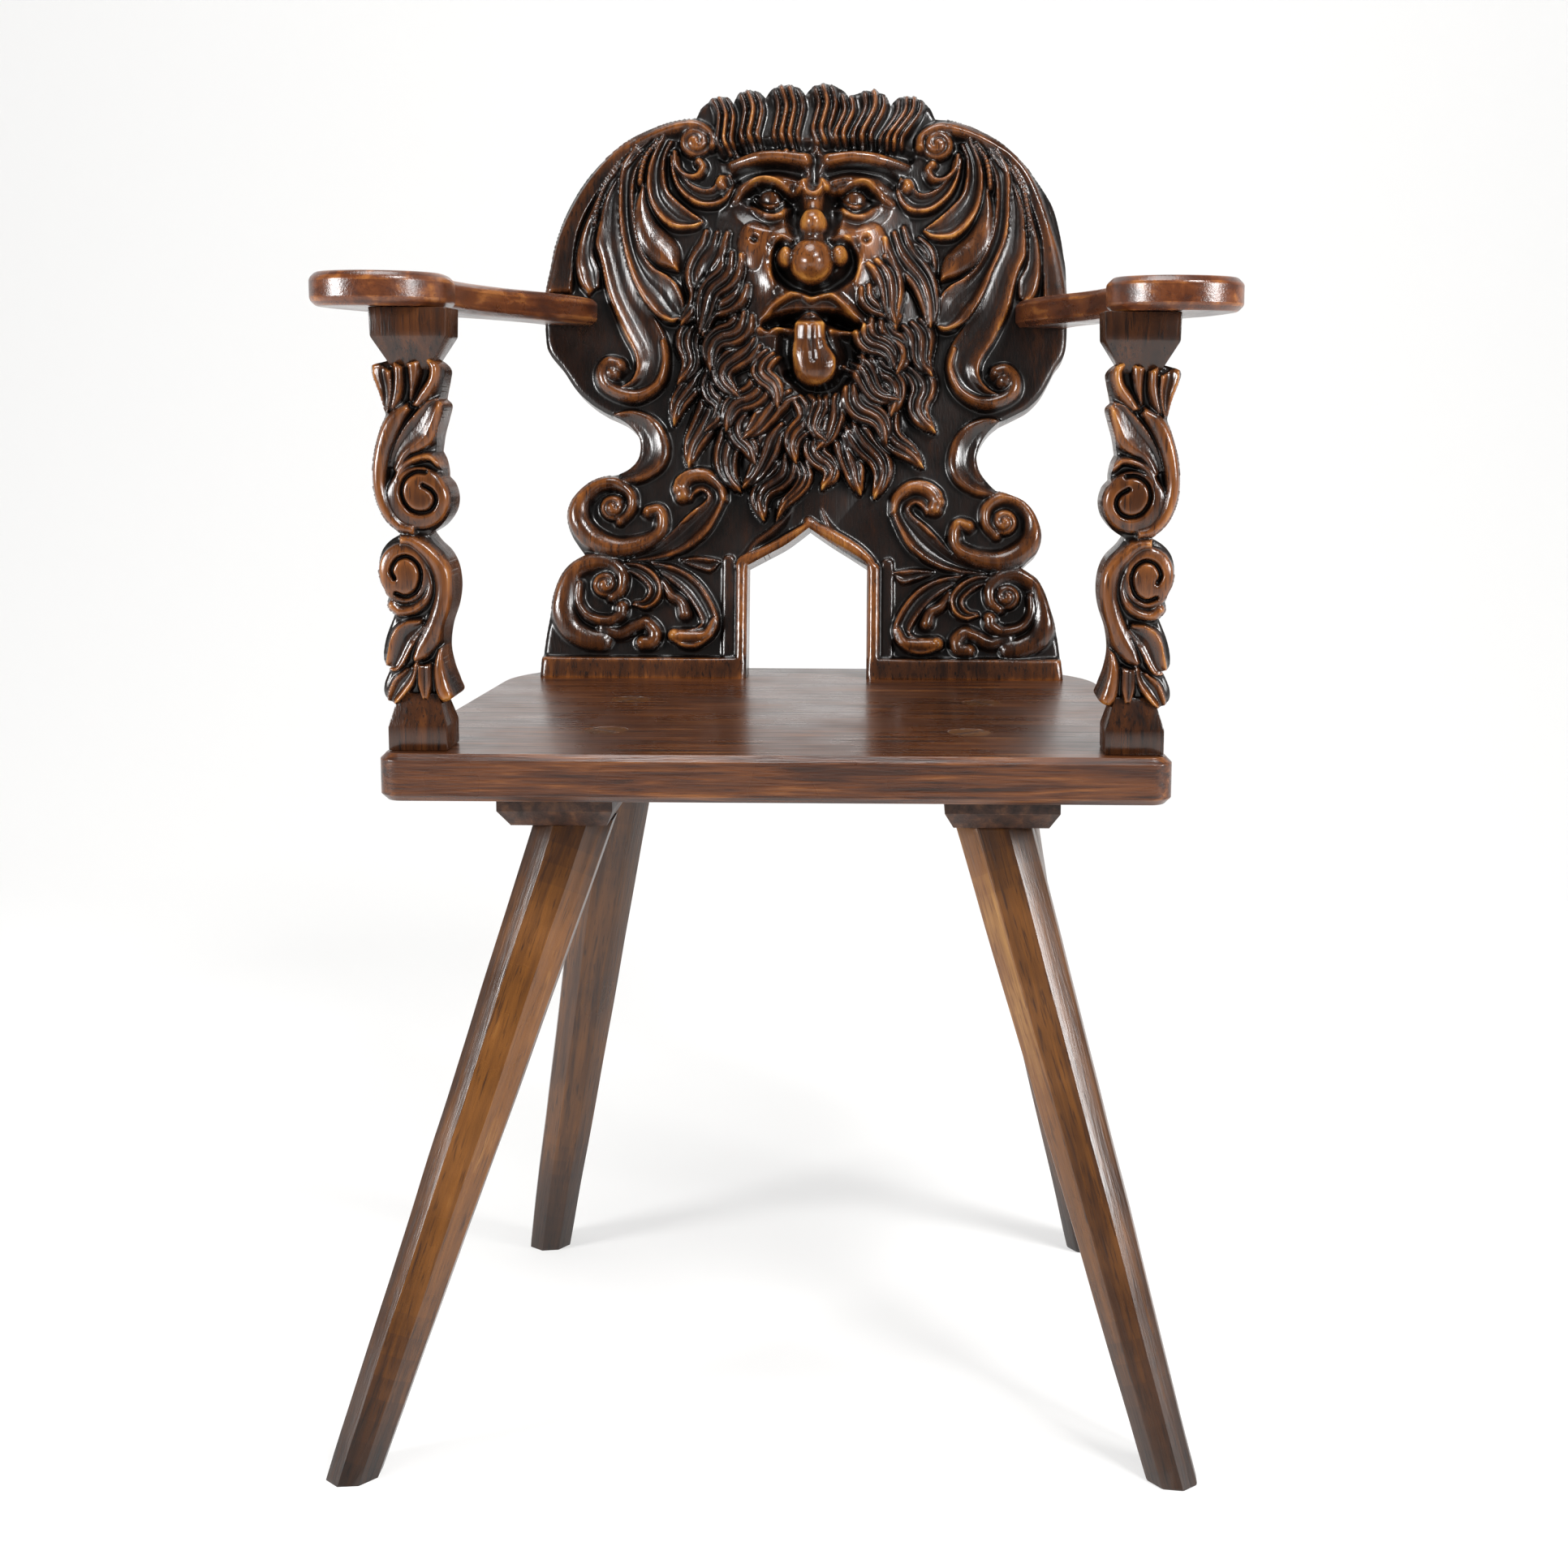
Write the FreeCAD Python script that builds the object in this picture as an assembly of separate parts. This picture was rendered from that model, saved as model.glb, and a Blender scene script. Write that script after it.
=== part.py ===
"""A carved plank armchair: plank seat, mask-carved back, splayed legs in dovetailed battens, arms on posts.

Every size is in millimetres. While it is modelled, X runs to the viewer's right, Y runs back from the seat's
front edge and Z runs up from the floor. The finished chair is then slid so that its origin lies on the floor,
in the middle of its outer box.
"""
import FreeCAD
import Part

import math
import os
from collections import namedtuple

from FreeCAD import Rotation, Vector

# Seat plank
SEAT_HEIGHT = 440.0
SEAT_THICKNESS = 30.0
SEAT_FRONT_WIDTH = 496.0
SEAT_SIDE_TAPER = 20.0
SEAT_DEPTH = 405.0
SEAT_REAR_CORNER = 90.0
SEAT_FRONT_CORNER = 14.0
SEAT_EDGE_EASE = 4.0

# Battens that slide into dovetailed grooves under the seat
BATTEN_X = 143.0
BATTEN_WIDTH = 74.0
BATTEN_THICKNESS = 25.0
BATTEN_CHAMFER = 6.0
BATTEN_SETBACK = 34.0
BATTEN_NOSE = 16.0
BATTEN_REAR_GAP = 4.0
DOVETAIL_DEPTH = 9.0
DOVETAIL_NECK = 48.0
DOVETAIL_FLARE = 4.0

# Legs: eight-sided, tapering to the foot, bored in by eye so that each has its own stance
LEG_TOP_ACROSS = 49.0
LEG_FOOT_ACROSS = 30.0
LEG_TENON_RADIUS = 14.0
Stance = namedtuple("Stance", "foot_x foot_y socket_x socket_y")
LEG_STANCES = {
    "front_left": Stance(-257.0, -60.0, -136.0, 76.0),
    "front_right": Stance(248.0, -60.0, 139.0, 76.0),
    "rear_left": Stance(-195.0, 286.0, -129.0, 238.0),
    "rear_right": Stance(226.0, 286.0, 147.0, 232.0),
}
LEG_WEDGE_LENGTH = 34.0
LEG_WEDGE_WIDTH = 24.0
LEG_WEDGE_HEAD = 5.0
LEG_WEDGE_TIP = 1.5

# Back board
BACK_REAR_MARGIN = 58.0
BACK_SETBACK = SEAT_DEPTH - BACK_REAR_MARGIN
BACK_TILT = 12.0
BOARD_THICKNESS = 26.0
BOARD_WIDTH = 416.0
BOARD_HEIGHT = 478.0
RIGHT_DROP = 10.0
RIGHT_DROP_REACH = 240.0
RIGHT_SHIFT = 6.0

# Tenons of the back board, and the keys that lock them below the battens
BACK_TENON_WIDTH = 40.0
BACK_TENON_THICKNESS = 20.0
BACK_TENON_BELOW = 46.0
KEY_WIDTH = 12.0
KEY_HEIGHT = 18.0
KEY_LENGTH = 78.0
KEY_TAPER = 4.0
KEY_DRAW = 2.0

# Arched opening at the foot of the back board, with its raised frame
ARCH_CENTRE = 3.0
ARCH_WIDTH = 94.0
ARCH_JAMB = 86.0
ARCH_RISE = 32.0
ARCH_BAND = 10.0
ARCH_BAND_PROUD = 8.0
BASE_RAIL_HEIGHT = 17.0
BASE_RAIL_PROUD = 8.0

# Posts that carry the arms
POST_EDGE_GAP = 6.0
POST_SETBACK = 12.0
POST_BLOCK_WIDTH = 37.0
POST_BLOCK_DEPTH = 34.0
POST_BLOCK_HEIGHT = 20.0
POST_BLOCK_SLOPE = 12.0
POST_HEIGHT = 274.0
POST_BODY_DEPTH = 30.0
POST_BODY_LAP = 2.0
POST_CAP_WIDTH = 47.0
POST_CAP_DEPTH = 38.0
POST_CAP_HEIGHT = 16.0
POST_CAP_SLOPE = 18.0
POST_NECK_WIDTH = 28.0
POST_NECK_DEPTH = 26.0
POST_TENON_WIDTH = 16.0
POST_FOOT_TENON = 20.0
POST_HEAD_TENON = 13.0
POST_CARVING_PROUD = 3.0

# Arms
ARM_THICKNESS = 21.0
ARM_WIDTH = 46.0
ARM_REAR_REACH = 212.0
ARM_HOUSING = 8.0
ARM_EDGE_EASE = 4.0
PADDLE_WIDTH = 84.0
PADDLE_LENGTH = 112.0
PADDLE_NOTCH = 12.0
NOTCH_ROUND = 6.0
PADDLE_OUTBOARD = 22.0
PADDLE_OVERHANG = 8.0
ARM_INNER_SHARE = 0.5
ARM_OUTER_SHARE = 0.4
PEG_RADIUS = 5.0
PEG_LENGTH = 38.0
PEG_PROUD = 1.5

# Carving and fits
CARVING_SINK = 4.0
TIP_FALL = 0.3
FIT = 0.15
FAR = 2000.0

UP = Vector(0, 0, 1)
BACK = Vector(0, 1, 0)
SEAT_UNDERSIDE = SEAT_HEIGHT - SEAT_THICKNESS
BATTEN_UNDERSIDE = SEAT_UNDERSIDE - BATTEN_THICKNESS
BATTEN_REAR = SEAT_DEPTH - BATTEN_REAR_GAP
ARM_UNDERSIDE = SEAT_HEIGHT + POST_HEIGHT
POST_X = SEAT_FRONT_WIDTH / 2 - POST_EDGE_GAP - POST_BLOCK_WIDTH / 2
POST_Y = POST_SETBACK + POST_BLOCK_DEPTH / 2


def spline(points):
    """A smooth edge through the points."""
    curve = Part.BSplineCurve()
    curve.interpolate(points)
    return curve.toShape()


def outline(edges):
    """A flat face inside edges given in any order."""
    return Part.Face(Part.Wire(Part.__sortEdges__(edges)))


def ring(corners):
    """A closed wire with straight sides."""
    return Part.makePolygon(corners + corners[:1])


def prismatoid(low, high):
    """A flat-sided solid between two rings with as many corners."""
    sides = [ring([low[k - 1], low[k], high[k], high[k - 1]]) for k in range(len(low))]
    return Part.Solid(Part.Shell([Part.Face(wire) for wire in sides + [ring(low), ring(high)]]))


def faceted(rings):
    """A solid over a run of rings with as many corners, skinned with the flats that a carver's tool leaves."""
    wires = [ring(rings[0]), ring(rings[-1])]
    for low, high in zip(rings, rings[1:]):
        for k in range(len(low)):
            wires.append(ring([low[k - 1], low[k], high[k]]))
            wires.append(ring([low[k - 1], high[k], high[k - 1]]))
    return Part.Solid(Part.Shell([Part.Face(wire) for wire in wires]))


def box(low, high):
    """A box between two corners."""
    size = high.sub(low)
    return Part.makeBox(size.x, size.y, size.z, low)


def below(height):
    """All space under a level."""
    return box(Vector(-FAR, -FAR, height - FAR), Vector(FAR, FAR, height))


def above(height):
    """All space over a level."""
    return box(Vector(-FAR, -FAR, height), Vector(FAR, FAR, height + FAR))


def mirrored(shape):
    """The same shape on the other side of the chair."""
    return shape.mirror(Vector(0, 0, 0), Vector(1, 0, 0))


def leaned(shape):
    """Moves a shape from the back board's own upright frame to its leaning place on the seat."""
    lean = FreeCAD.Placement(Vector(0, BACK_SETBACK, SEAT_HEIGHT), Rotation(Vector(1, 0, 0), -BACK_TILT))
    return shape.transformed(lean.Matrix, True)


# Seat and battens


def seat_blank():
    """The seat before it is grooved: straight front, tapering sides, swept rear corners, eased rims."""
    half_front = SEAT_FRONT_WIDTH / 2
    half_rear = half_front - SEAT_SIDE_TAPER
    plan = [(-half_front, 0), (half_front, 0), (half_rear, SEAT_DEPTH), (-half_rear, SEAT_DEPTH)]
    blank = Part.Face(ring([Vector(x, y, SEAT_UNDERSIDE) for x, y in plan])).extrude(UP * SEAT_THICKNESS)
    corners = [edge for edge in blank.Edges if edge.BoundBox.ZLength > SEAT_THICKNESS / 2]
    front = [edge for edge in corners if edge.CenterOfMass.y < SEAT_DEPTH / 2]
    blank = blank.makeFillet(SEAT_FRONT_CORNER, front)
    corners = [edge for edge in blank.Edges if edge.BoundBox.ZLength > SEAT_THICKNESS / 2]
    rear = [edge for edge in corners if edge.CenterOfMass.y > SEAT_DEPTH / 2]
    blank = blank.makeFillet(SEAT_REAR_CORNER, rear)
    rims = [edge for edge in blank.Edges if edge.BoundBox.ZLength < FIT]
    return blank.makeChamfer(SEAT_EDGE_EASE, rims)


def dovetail(grow):
    """The right batten's tongue in the seat, grown by the given fit."""
    neck = DOVETAIL_NECK / 2 + grow
    head = neck + DOVETAIL_FLARE
    top = SEAT_UNDERSIDE + DOVETAIL_DEPTH + grow
    front = BATTEN_SETBACK + BATTEN_NOSE - grow
    section = Part.Face(ring([
        Vector(BATTEN_X - neck, front, SEAT_UNDERSIDE), Vector(BATTEN_X + neck, front, SEAT_UNDERSIDE),
        Vector(BATTEN_X + head, front, top), Vector(BATTEN_X - head, front, top),
    ]))
    return section.extrude(BACK * (SEAT_DEPTH - BATTEN_REAR_GAP * (grow == 0) - front + grow))


def seat_plank(mortises):
    """The seat with eased edges, two open-ended grooves and the mortises of legs, posts and back."""
    groove = dovetail(FIT)
    return seat_blank().cut([groove, mirrored(groove)] + mortises)


def right_batten():
    """A chamfered bar with a dovetailed tongue, its nose sloped away under the seat."""
    half = BATTEN_WIDTH / 2
    low = half - BATTEN_CHAMFER
    knee = BATTEN_UNDERSIDE + BATTEN_THICKNESS / 2
    section = [(half, SEAT_UNDERSIDE), (half, knee), (low, BATTEN_UNDERSIDE)]
    section += [(-across, height) for across, height in reversed(section)]
    corners = [Vector(BATTEN_X + across, BATTEN_SETBACK, height) for across, height in section]
    face = Part.Face(ring(corners))
    bar = face.extrude(BACK * (BATTEN_REAR - BATTEN_SETBACK))
    slope = Part.Face(ring([
        Vector(-FAR, BATTEN_SETBACK, knee), Vector(-FAR, BATTEN_SETBACK + BATTEN_NOSE, BATTEN_UNDERSIDE),
        Vector(-FAR, BATTEN_SETBACK, BATTEN_UNDERSIDE),
    ]))
    return bar.cut(slope.extrude(Vector(2 * FAR, 0, 0))).fuse(dovetail(0)).removeSplitter()


# Legs


class Leg:
    """One leg about its axis, from the middle of its foot through its socket to the seat's top."""

    def __init__(self, stance):
        self.foot = Vector(stance.foot_x, stance.foot_y, 0)
        socket = Vector(stance.socket_x, stance.socket_y, BATTEN_UNDERSIDE)
        self.along = socket.sub(self.foot).normalize()
        self.across = UP.cross(self.along).normalize()
        self.splay = self.along.cross(self.across)

    def at(self, height):
        return self.foot + self.along * (height / self.along.z)

    def rectangle(self, height, width, thickness):
        """A section with its long side across the splay."""
        corners = [(-width, -thickness), (width, -thickness), (width, thickness), (-width, thickness)]
        return [self.at(height) + self.across * (a / 2) + self.splay * (b / 2) for a, b in corners]

    def octagon(self, height, across_flats):
        """An eight-sided section square to the axis, a flat towards the splay."""
        reach = across_flats / 2 / math.cos(math.pi / 8)
        turns = [math.pi / 8 + k * math.pi / 4 for k in range(8)]
        spokes = [self.across * math.cos(turn) + self.splay * math.sin(turn) for turn in turns]
        return [self.at(height) + spoke * reach for spoke in spokes]

    def shaft(self):
        """The tapered leg below the batten, cut level at the floor and at the shoulder."""
        taper = (LEG_TOP_ACROSS - LEG_FOOT_ACROSS) / BATTEN_UNDERSIDE
        over = LEG_TOP_ACROSS
        low = self.octagon(-over, LEG_FOOT_ACROSS - taper * over)
        high = self.octagon(BATTEN_UNDERSIDE + over, LEG_TOP_ACROSS + taper * over)
        return prismatoid(low, high).cut([below(0), above(BATTEN_UNDERSIDE)])

    def tenon(self, grow):
        """The round tenon, from inside the shaft to past the seat's top; grown, it bores the holes."""
        start = self.at(BATTEN_UNDERSIDE - LEG_TENON_RADIUS)
        length = (BATTEN_THICKNESS + SEAT_THICKNESS + 2 * LEG_TENON_RADIUS) / self.along.z
        return Part.makeCylinder(LEG_TENON_RADIUS + grow, length, start, self.along)

    def wedge(self):
        """The wedge in the tenon's end, flush with the seat."""
        tip = self.rectangle(SEAT_HEIGHT - LEG_WEDGE_LENGTH, LEG_WEDGE_WIDTH, LEG_WEDGE_TIP)
        head = self.rectangle(SEAT_HEIGHT + LEG_TENON_RADIUS, LEG_WEDGE_WIDTH, LEG_WEDGE_HEAD)
        return prismatoid(tip, head).cut(above(SEAT_HEIGHT))

    def solid(self):
        tenon = self.tenon(0).cut(above(SEAT_HEIGHT))
        return self.shaft().fuse(tenon).removeSplitter().cut(self.wedge())


# Back board: silhouette and arch, in the board's own upright frame with its carved face towards -Y

TEMPLATE_HALF_WIDTH = 208.0
TEMPLATE_HEIGHT = 475.0
FOOT_OUT = 205.0
SIDE_SWEEPS = [
    [(FOOT_OUT, 0), (200, 45), (193, 74), (172, 95)],
    [(172, 95), (187, 124), (170, 152), (147, 160), (130, 180), (143, 203), (156, 209)],
    [(156, 209), (193, 242), (208, 288), (200, 348), (172, 404), (130, 436), (92, 449)],
]
CREST_NOTCHES = [(-92, 449), (-60, 460), (-35, 465), (-1, 468), (31, 466), (64, 460), (102, 449)]
CREST_TOPS = [(-70, 464), (-48, 469), (-17, 474), (15, 475), (48, 470), (82, 466)]


def on_template(u, v):
    """A point of the carver's template, stretched to the board."""
    return Vector(u * BOARD_WIDTH / 2 / TEMPLATE_HALF_WIDTH, 0, v * BOARD_HEIGHT / TEMPLATE_HEIGHT)


def carved_at(side, out, up):
    """A template point of the left half, or its mirror on the right half, carved a little lower."""
    if side < 0:
        return on_template(-out, up)
    drop = RIGHT_DROP * math.sin(math.pi * up / RIGHT_DROP_REACH) if up < RIGHT_DROP_REACH else 0
    return on_template(out, up - drop)


def board_silhouette():
    """The whole outline, from the left foot over the crest to the right foot, with stock below to trim."""
    edges = []
    for side in (-1, 1):
        for sweep in SIDE_SWEEPS[:-1]:
            edges.append(spline([carved_at(side, out, up) for out, up in sweep]))
        head = [carved_at(side, out, up) for out, up in SIDE_SWEEPS[-1]]
        head[-1] = on_template(*(CREST_NOTCHES[0] if side < 0 else CREST_NOTCHES[-1]))
        edges.append(spline(head))
    for start, top, end in zip(CREST_NOTCHES, CREST_TOPS, CREST_NOTCHES[1:]):
        edges.append(Part.Arc(on_template(*start), on_template(*top), on_template(*end)).toShape())
    left, right = carved_at(-1, FOOT_OUT, 0), carved_at(1, FOOT_OUT, 0)
    stock = UP * (-2 * BOARD_THICKNESS)
    edges.append(Part.makeLine(left, left + stock))
    edges.append(Part.makeLine(left + stock, right + stock))
    edges.append(Part.makeLine(right + stock, right))
    return outline(edges)


def keel_arch(grow, front, back):
    """The arch with straight jambs and two ogee sweeps that meet in a point, between two depths."""
    half = ARCH_WIDTH / 2 + grow
    foot = -2 * BOARD_THICKNESS
    sweep = [(half, 0), (0.72 * half, 0.36), (0.3 * half, 0.66), (0, 1)]
    rise = ARCH_RISE + grow
    right = [Vector(across, 0, ARCH_JAMB + share * rise) for across, share in sweep]
    left = [Vector(-point.x, 0, point.z) for point in right]
    low_right, low_left = Vector(half, 0, foot), Vector(-half, 0, foot)
    edges = [spline(right), spline(left)]
    edges.append(Part.makeLine(right[0], low_right))
    edges.append(Part.makeLine(low_right, low_left))
    edges.append(Part.makeLine(low_left, left[0]))
    face = outline(edges).translated(Vector(ARCH_CENTRE, front, 0))
    return face.extrude(BACK * (back - front))


# Carving on the back board: strokes are drawn on the left half of the template, as distances out from the
# middle and up from the seat, and mirrored to the right half

Stroke = namedtuple("Stroke", "points root tip proud")
Boss = namedtuple("Boss", "out up radius proud")
STATION_GAP = 28.0
SCROLL_GAP = 18.0
KNOB_SIDES = 6
KNOB_PROFILE = [(0.95, 0.55), (0.5, 1.0)]
SPIRAL_TURNS = 0.875
SPIRAL_STEP = 45


def spiral(centre, start, turns, outer, inner):
    """Points that wind in about a centre; positive turns run from the outer side up and over."""
    steps = int(abs(turns) * 360 / SPIRAL_STEP)
    points = []
    for k in range(steps + 1):
        angle = math.radians(start) + math.copysign(k * math.radians(SPIRAL_STEP), turns)
        reach = outer + (inner - outer) * k / steps
        points.append((centre[0] + reach * math.cos(angle), centre[1] + reach * math.sin(angle)))
    return points


RIM_LEAD = [(203, 325), (189, 376), (158, 416), (122, 439)]
MID_LEAD = [(112, 128), (109, 116), (126, 105), (152, 102), (176, 109), (183, 127), (176, 144), (162, 153)]
LOW_LEAD = [(148, 27), (170, 31), (186, 50), (188, 70), (181, 84)]
SCROLLS = [
    Stroke(RIM_LEAD + spiral((92, 428), 70, SPIRAL_TURNS, 18, 11), 8, 4, 10),
    Stroke(MID_LEAD + spiral((147, 133), 80, SPIRAL_TURNS, 21, 11), 6, 4, 10),
    Stroke(LOW_LEAD + spiral((155, 72), 45, SPIRAL_TURNS, 21, 11), 6, 4, 9),
]
BANDS = [
    Stroke([(152, 206), (130, 199), (116, 182), (117, 166), (132, 157)], 6, 6, 8.5),
    Stroke([(152, 97), (116, 98), (86, 110), (68, 130), (66, 149), (79, 161), (94, 156), (98, 145)],
           6, 5, 9.5),
    Stroke([(141, 91), (112, 88), (87, 74), (73, 54), (78, 39), (93, 34), (103, 40)], 6, 4, 8),
]
LEAVES = [
    Stroke([(126, 424), (131, 398), (122, 373), (105, 359), (88, 357)], 9, 4, 12),
    Stroke([(144, 404), (142, 368), (131, 343), (111, 326)], 9, 4, 10.5),
    Stroke([(158, 396), (151, 350), (136, 313), (117, 293), (101, 290)], 10, 7, 12),
    Stroke([(174, 385), (169, 340), (154, 303), (135, 275), (116, 256), (110, 239), (121, 222), (142, 219),
            (158, 231)], 9, 6, 11.5),
    Stroke([(189, 365), (189, 335), (184, 312)], 8, 4, 9),
]
BOSSES = [Boss(92, 428, 9, 12), Boss(147, 133, 9, 11), Boss(155, 72, 8, 10), Boss(147, 242, 10, 9)]

# The mask: a domed face and beard, its features set on the dome
FACE_CENTRE = 6.0
Level = namedtuple("Level", "up half proud")
MASK_LEVELS = [
    Level(120, 12, 8), Level(150, 40, 15), Level(200, 70, 21), Level(250, 82, 24), Level(300, 86, 27),
    Level(350, 84, 30), Level(400, 80, 27), Level(436, 84, 22), Level(458, 80, 16),
]
DOME_STATIONS = (-1, -0.7, -0.25, 0.25, 0.7, 1)
BROW = Stroke([(1, 385), (13, 386), (34, 394), (52, 387), (66, 375)], 5, 3, 6)
CHEEK_FOLD = Stroke([(14, 352), (30, 352), (36, 338), (32, 322)], 5, 3, 5)
UPPER_LIP = Stroke([(0, 299), (14, 303), (28, 295), (44, 283)], 6, 4, 7)
NOSE_BRIDGE = Stroke([(0, 384), (0, 365), (0, 345), (0, 328)], 9, 15, 18)
TONGUE = Stroke([(0, 292), (0, 270), (0, 250), (2, 236)], 13, 16, 13)
FACE_KNOBS = [Boss(35, 378, 10, 5), Boss(22, 335, 9, 11)]
NOSE_TIP = Boss(0, 331, 17, 23)
NOSE_KNOB = Boss(1, 358, 9, 18)

# Beard locks hang in rows; each is a wavy stroke that thins to its tip
Row = namedtuple("Row", "up length outs")
BEARD_ROWS = [
    Row(345, 84, (80,)),
    Row(276, 88, (48, 78)),
    Row(214, 80, (18, 50)),
]
LOCK_WAVE = 5.0
LOCK_HALF = 15.0
LOCK_TIP = 3.0
LOCK_PROUD = 6.0
LOCK_GATHER = 0.16
HAIR_LOCK_HALF = 12.0
HAIR_LOCK_PROUD = 7.0
HAIRLINE = 420.0


def mask_level(up):
    """The dome's half width and height at a level, between the sections it is lofted through."""
    for low, high in zip(MASK_LEVELS, MASK_LEVELS[1:]):
        if low.up <= up <= high.up:
            share = (up - low.up) / (high.up - low.up)
            return low.half + share * (high.half - low.half), low.proud + share * (high.proud - low.proud)
    return 0.0, 0.0


def mask_height(point):
    """How far the dome stands out at a point of the board."""
    u = point.x * TEMPLATE_HALF_WIDTH / (BOARD_WIDTH / 2)
    half, proud = mask_level(point.z * TEMPLATE_HEIGHT / BOARD_HEIGHT)
    across = abs(u - FACE_CENTRE)
    return proud * (1 - (across / half) ** 2) if across < half else 0.0


def flat_ground(point):
    """The board's ground, away from the mask."""
    return 0.0


def on_scrollwork(side, out, up):
    """Where a stroke of the scrollwork lies on either half of the board."""
    shift = RIGHT_SHIFT * min(1, (TEMPLATE_HALF_WIDTH - out) / (TEMPLATE_HALF_WIDTH - FACE_CENTRE) * 4)
    return carved_at(side, out + (shift if side > 0 else 0), up)


def on_face(side, out, up):
    """Where a feature of the mask lies, mirrored about the face's own middle."""
    return on_template(FACE_CENTRE + side * out, up)


def on_middle(out, up):
    """Where a single feature of the mask lies, measured from the face's middle line."""
    return on_face(1, out, up)


def ridge(stroke, place, base, gap=STATION_GAP):
    """A raised stroke whose sloping sides meet in a crest, from its root to its thinner or fuller tip."""
    line = spline([place(out, up) for out, up in stroke.points])
    stations = max(3, round(line.Length / gap))
    path = line.discretize(Number=stations)
    sections = []
    for k, point in enumerate(path):
        share = k / (stations - 1)
        along = path[min(k + 1, stations - 1)].sub(path[max(k - 1, 0)]).normalize()
        aside = Vector(-along.z, 0, along.x)
        half = stroke.root + share * (stroke.tip - stroke.root)
        foot = BACK * (CARVING_SINK - base(point))
        crest = BACK * (-stroke.proud * (1 - TIP_FALL * share) - base(point))
        sections.append([point - aside * half + foot, point + crest, point + aside * half + foot])
    return faceted(sections)


def knob(boss, place, base):
    """A round button whose crown stands proud of what it grows from."""
    point = place(boss.out, boss.up)
    turns = [2 * math.pi * k / KNOB_SIDES for k in range(KNOB_SIDES)]
    spokes = [Vector(math.cos(turn), 0, math.sin(turn)) * boss.radius for turn in turns]
    rings = []
    steps = [(1.0, -CARVING_SINK)] + [(reach, share * boss.proud) for reach, share in KNOB_PROFILE]
    for reach, height in steps:
        rings.append([point + spoke * reach - BACK * (height + base(point)) for spoke in spokes])
    return faceted(rings)


def mask_dome():
    """The swelling ground of face and beard, faceted up the board through shallow arcs."""
    sections = []
    for level in MASK_LEVELS:
        section = []
        for share in DOME_STATIONS:
            proud = level.proud * (1 - share ** 2) if abs(share) < 1 else -CARVING_SINK
            section.append(on_face(1, share * level.half, level.up) - BACK * proud)
        sections.append(section)
    return faceted(sections)


def lock(row, out):
    """The template line of one beard lock, drawn in towards the middle as it falls."""
    points = []
    for share in (0, 0.25, 0.5, 0.75, 1):
        wave = LOCK_WAVE * math.sin(2 * math.pi * share)
        points.append((out * (1 - LOCK_GATHER * share) + wave, row.up - row.length * share))
    return Stroke(points, LOCK_HALF, LOCK_TIP, LOCK_PROUD)


def mask_features():
    """Brows, eyes, nose, cheek folds, lip, tongue, hair and beard on the dome."""
    pieces = [ridge(stroke, on_middle, mask_height) for stroke in (NOSE_BRIDGE, TONGUE)]
    pieces += [knob(boss, on_middle, mask_height) for boss in (NOSE_TIP, NOSE_KNOB)]
    for side in (-1, 1):
        def place(out, up, side=side):
            return on_face(side, out, up)
        strokes = [BROW, CHEEK_FOLD, UPPER_LIP]
        strokes += [lock(row, out) for row in BEARD_ROWS for out in row.outs]
        pieces += [ridge(stroke, place, mask_height) for stroke in strokes]
        pieces += [knob(boss, place, mask_height) for boss in FACE_KNOBS]
    for u, top in CREST_TOPS:
        line = [(u, HAIRLINE), (u, (HAIRLINE + top) / 2), (u, top)]
        stroke = Stroke(line, HAIR_LOCK_HALF, HAIR_LOCK_HALF, HAIR_LOCK_PROUD)
        pieces.append(ridge(stroke, on_template, mask_height))
    return pieces


def scrollwork():
    """Rims, volutes, leaves and bands on both halves of the board."""
    pieces = []
    for side in (-1, 1):
        def place(out, up, side=side):
            return on_scrollwork(side, out, up)
        pieces += [ridge(stroke, place, flat_ground, SCROLL_GAP) for stroke in SCROLLS]
        pieces += [ridge(stroke, place, flat_ground) for stroke in BANDS + LEAVES]
        pieces += [knob(boss, place, flat_ground) for boss in BOSSES]
    return pieces


def arch_frame():
    """The raised band round the arch and the rail along the seat."""
    band = keel_arch(ARCH_BAND, -ARCH_BAND_PROUD, CARVING_SINK)
    rail = box(
        carved_at(-1, FOOT_OUT, -2 * BASE_RAIL_HEIGHT) - BACK * BASE_RAIL_PROUD,
        carved_at(1, FOOT_OUT, BASE_RAIL_HEIGHT) + BACK * CARVING_SINK,
    )
    return [band, rail]


def back_tenon(grow):
    """The right tenon of the back board, in the board's frame; grown, it cuts the mortises."""
    middle = BOARD_THICKNESS / 2
    reach = (SEAT_THICKNESS + BATTEN_THICKNESS + BACK_TENON_BELOW) / math.cos(math.radians(BACK_TILT))
    half = Vector(BACK_TENON_WIDTH / 2 + grow, BACK_TENON_THICKNESS / 2 + grow, 0)
    centre = Vector(BATTEN_X, middle, 0)
    return box(centre - half - UP * reach, centre + half + UP * BOARD_THICKNESS)


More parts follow.
